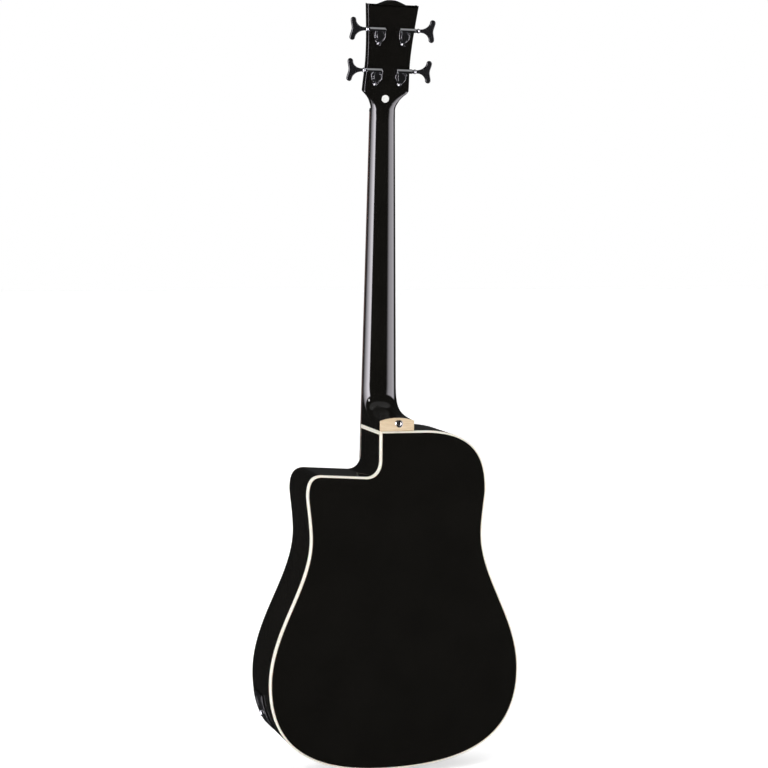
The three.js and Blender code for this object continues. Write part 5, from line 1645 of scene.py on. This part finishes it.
# Softboxes as reflections show them: turn from the camera in degrees, and share of full brightness
SOFTBOXES = (
    *((-130, 0), (-118, 0.06), (-108, 0.15), (-85, 0.4), (-62, 0.7), (-46, 1), (-31, 1), (-26, 0)),
    *((49, 0), (54, 0.18), (61, 0.37), (91, 0.45), (100, 0.4), (112, 0)),
)


def add_world(stage):
    """White where the camera sees it. Reflections find two tall softboxes, a small lamp, a panel overhead
    and a faint glow behind the instrument, with darkness between them."""
    world = bpy.data.worlds.new("studio")
    bpy.context.scene.world = world
    world.use_nodes = True
    tree = world.node_tree
    tree.nodes.clear()
    ray = add_node(tree, "ShaderNodeLightPath").outputs
    direction = add_node(tree, "ShaderNodeTexCoord").outputs["Generated"]
    a = stage.azimuth

    def along(vector):
        made = add_node(tree, "ShaderNodeVectorMath", {"operation": "DOT_PRODUCT", 1: vector}, {0: direction})
        return made.outputs["Value"]

    def math_of(operation, first, second):
        made = add_node(tree, "ShaderNodeMath", {"operation": operation}, {0: first})
        if isinstance(second, (int, float)):
            made.inputs[1].default_value = second
        else:
            tree.links.new(second, made.inputs[1])
        return made.outputs[0]

    def fade(value, low, high, start, end):
        settings = {"interpolation_type": "SMOOTHSTEP", "From Min": low, "From Max": high}
        settings |= {"To Min": start, "To Max": end}
        return add_node(tree, "ShaderNodeMapRange", settings, {"Value": value}).outputs[0]

    def seen_from_camera(turn, rise):
        """A direction, as a turn from the camera and a rise, in degrees."""
        return aimed(a + math.radians(turn), math.radians(rise))

    turn = math_of("ARCTAN2", along(seen_from_camera(90, 0)), along(seen_from_camera(0, 0)))
    share = math_of("MULTIPLY_ADD", turn, 1 / (2 * math.pi))
    share.node.inputs[2].default_value = 0.5
    boxes = add_node(tree, "ShaderNodeValToRGB", None, {"Fac": share})
    stops = boxes.color_ramp.elements
    while len(stops) > 1:
        stops.remove(stops[0])
    stops[0].position, stops[0].color = 0, (0, 0, 0, 1)
    for degrees, level in SOFTBOXES:
        stop = stops.new(degrees / 360 + 0.5)
        stop.color = (level * 0.97, level * 0.93, level, 1)
    height = along((0, 0, 1))
    lit = math_of("MULTIPLY", fade(height, -0.85, -0.6, 0, 1), fade(height, 0.33, 0.42, 1, 0))
    lit = math_of("MULTIPLY", lit, stage.softbox)
    links = {0: boxes.outputs["Color"], "Scale": lit}
    tall = add_node(tree, "ShaderNodeVectorMath", {"operation": "SCALE"}, links)
    lamp = fade(along(seen_from_camera(-48, 34)), 0.9925, 0.9965, 0, stage.softbox)
    over = fade(height, 0.8, 0.9, 0, 0.4)
    behind = fade(along(seen_from_camera(180, -5.7)), 0.95, 0.975, 0, 0.02)
    rest = math_of("ADD", math_of("ADD", lamp, over), behind)
    rest = math_of("ADD", rest, stage.dark)
    mirror_color = add_node(tree, "ShaderNodeVectorMath", {"operation": "ADD"}, {0: tall.outputs[0], 1: rest})
    mirror = math_of("MAXIMUM", ray["Is Glossy Ray"], ray["Is Transmission Ray"])
    fill = (stage.fill, stage.fill, stage.fill, 1)
    links = {0: mirror, 7: mirror_color.outputs[0]}
    soft = add_node(tree, "ShaderNodeMix", {"data_type": "RGBA", 6: fill}, links)
    white = {"data_type": "RGBA", 7: (1, 1, 1, 1)}
    seen = add_node(tree, "ShaderNodeMix", white, {0: ray["Is Camera Ray"], 6: soft.outputs["Result"]})
    sky = add_node(tree, "ShaderNodeBackground", None, {"Color": seen.outputs["Result"]})
    add_node(tree, "ShaderNodeOutputWorld", None, {"Surface": sky.outputs[0]})


# Settings
def in_mm(name, words, default):
    return FloatProperty(name=name, description=f"{words}, in millimetres", default=default, min=0.1)


def colour(name, default):
    words = f"Colour of the {name.lower()}"
    return FloatVectorProperty(name=name, description=words, subtype="COLOR_GAMMA", size=3, default=default)


def angle_of(name, words, degrees):
    return FloatProperty(name=name, description=words, default=math.radians(degrees), unit="ROTATION")


def amount(name, words, default, unit="NONE"):
    return FloatProperty(name=name, description=words, default=default, unit=unit)


class BassSizes(bpy.types.PropertyGroup):
    binding_edge: in_mm("Binding edge", "Radius of the binding's outer edge", 1.4)
    head_edge: in_mm("Headstock edge", "Radius of the headstock's edges", 0.9)
    cap_edge: in_mm("Heel cap edge", "Width of the heel cap's bevel", 0.9)
    dome_rings: IntProperty(name="Back rings", description="Rings of faces over the back", default=18, min=4)


class BassFinishes(bpy.types.PropertyGroup):
    lacquer: colour("Lacquer", (0.067, 0.062, 0.055))
    binding: colour("Binding", (0.965, 0.945, 0.897))


class BassStage(bpy.types.PropertyGroup):
    azimuth: angle_of("Azimuth", "Camera's turn round the instrument", 160.92)
    elevation: angle_of("Elevation", "Camera's height angle", 5.659)
    roll: angle_of("Roll", "Camera's roll", 0.764)
    distance: amount("Distance", "From the camera to its target", 2.9165, "LENGTH")
    lens: amount("Lens", "Focal length in millimetres", 89.98)
    target: FloatVectorProperty(
        name="Target",
        description="What the camera looks at",
        subtype="XYZ",
        size=3,
        default=(0.008618, 0.05, -0.4122),
    )
    panel_power: amount("Panel power", "Power of each soft light in watts", 30)
    fill: amount("Fill", "Strength of the soft light from all round", 0.55)
    softbox: amount("Softbox", "Brightness of the softboxes in reflections", 15)
    dark: amount("Dark", "Brightness of the dark studio in reflections", 0.015)


class BASS_PT_panel(bpy.types.Panel):
    """Lists the pieces and their settings"""

    bl_idname = "BASS_PT_panel"
    bl_label = "Bass guitar"
    bl_space_type = "VIEW_3D"
    bl_region_type = "UI"
    bl_category = "Bass guitar"

    def draw(self, context):
        for made in PIECES:
            self.layout.operator(made.bl_idname)
        for group in ("bass_sizes", "bass_finishes", "bass_stage"):
            settings = getattr(context.scene, group)
            for name in settings.__annotations__:
                self.layout.prop(settings, name)


PIECES = (
    BASS_OT_stage,
    BASS_OT_body_shell,
    BASS_OT_neck,
    BASS_OT_fretboard,
    BASS_OT_bridge,
    BASS_OT_machine_heads,
    BASS_OT_headstock_fittings,
    BASS_OT_side_fittings,
    BASS_OT_inside,
)
CLASSES = (BassSizes, BassFinishes, BassStage, *PIECES, BASS_PT_panel)


def register():
    for made in CLASSES:
        bpy.utils.register_class(made)
    bpy.types.Scene.bass_sizes = PointerProperty(type=BassSizes)
    bpy.types.Scene.bass_finishes = PointerProperty(type=BassFinishes)
    bpy.types.Scene.bass_stage = PointerProperty(type=BassStage)


def unregister():
    del bpy.types.Scene.bass_stage
    del bpy.types.Scene.bass_finishes
    del bpy.types.Scene.bass_sizes
    for made in reversed(CLASSES):
        bpy.utils.unregister_class(made)


def main():
    register()
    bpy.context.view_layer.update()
    for made in PIECES:
        group, name = made.bl_idname.split(".")
        getattr(getattr(bpy.ops, group), name)()


if __name__ == "__main__":
    main()
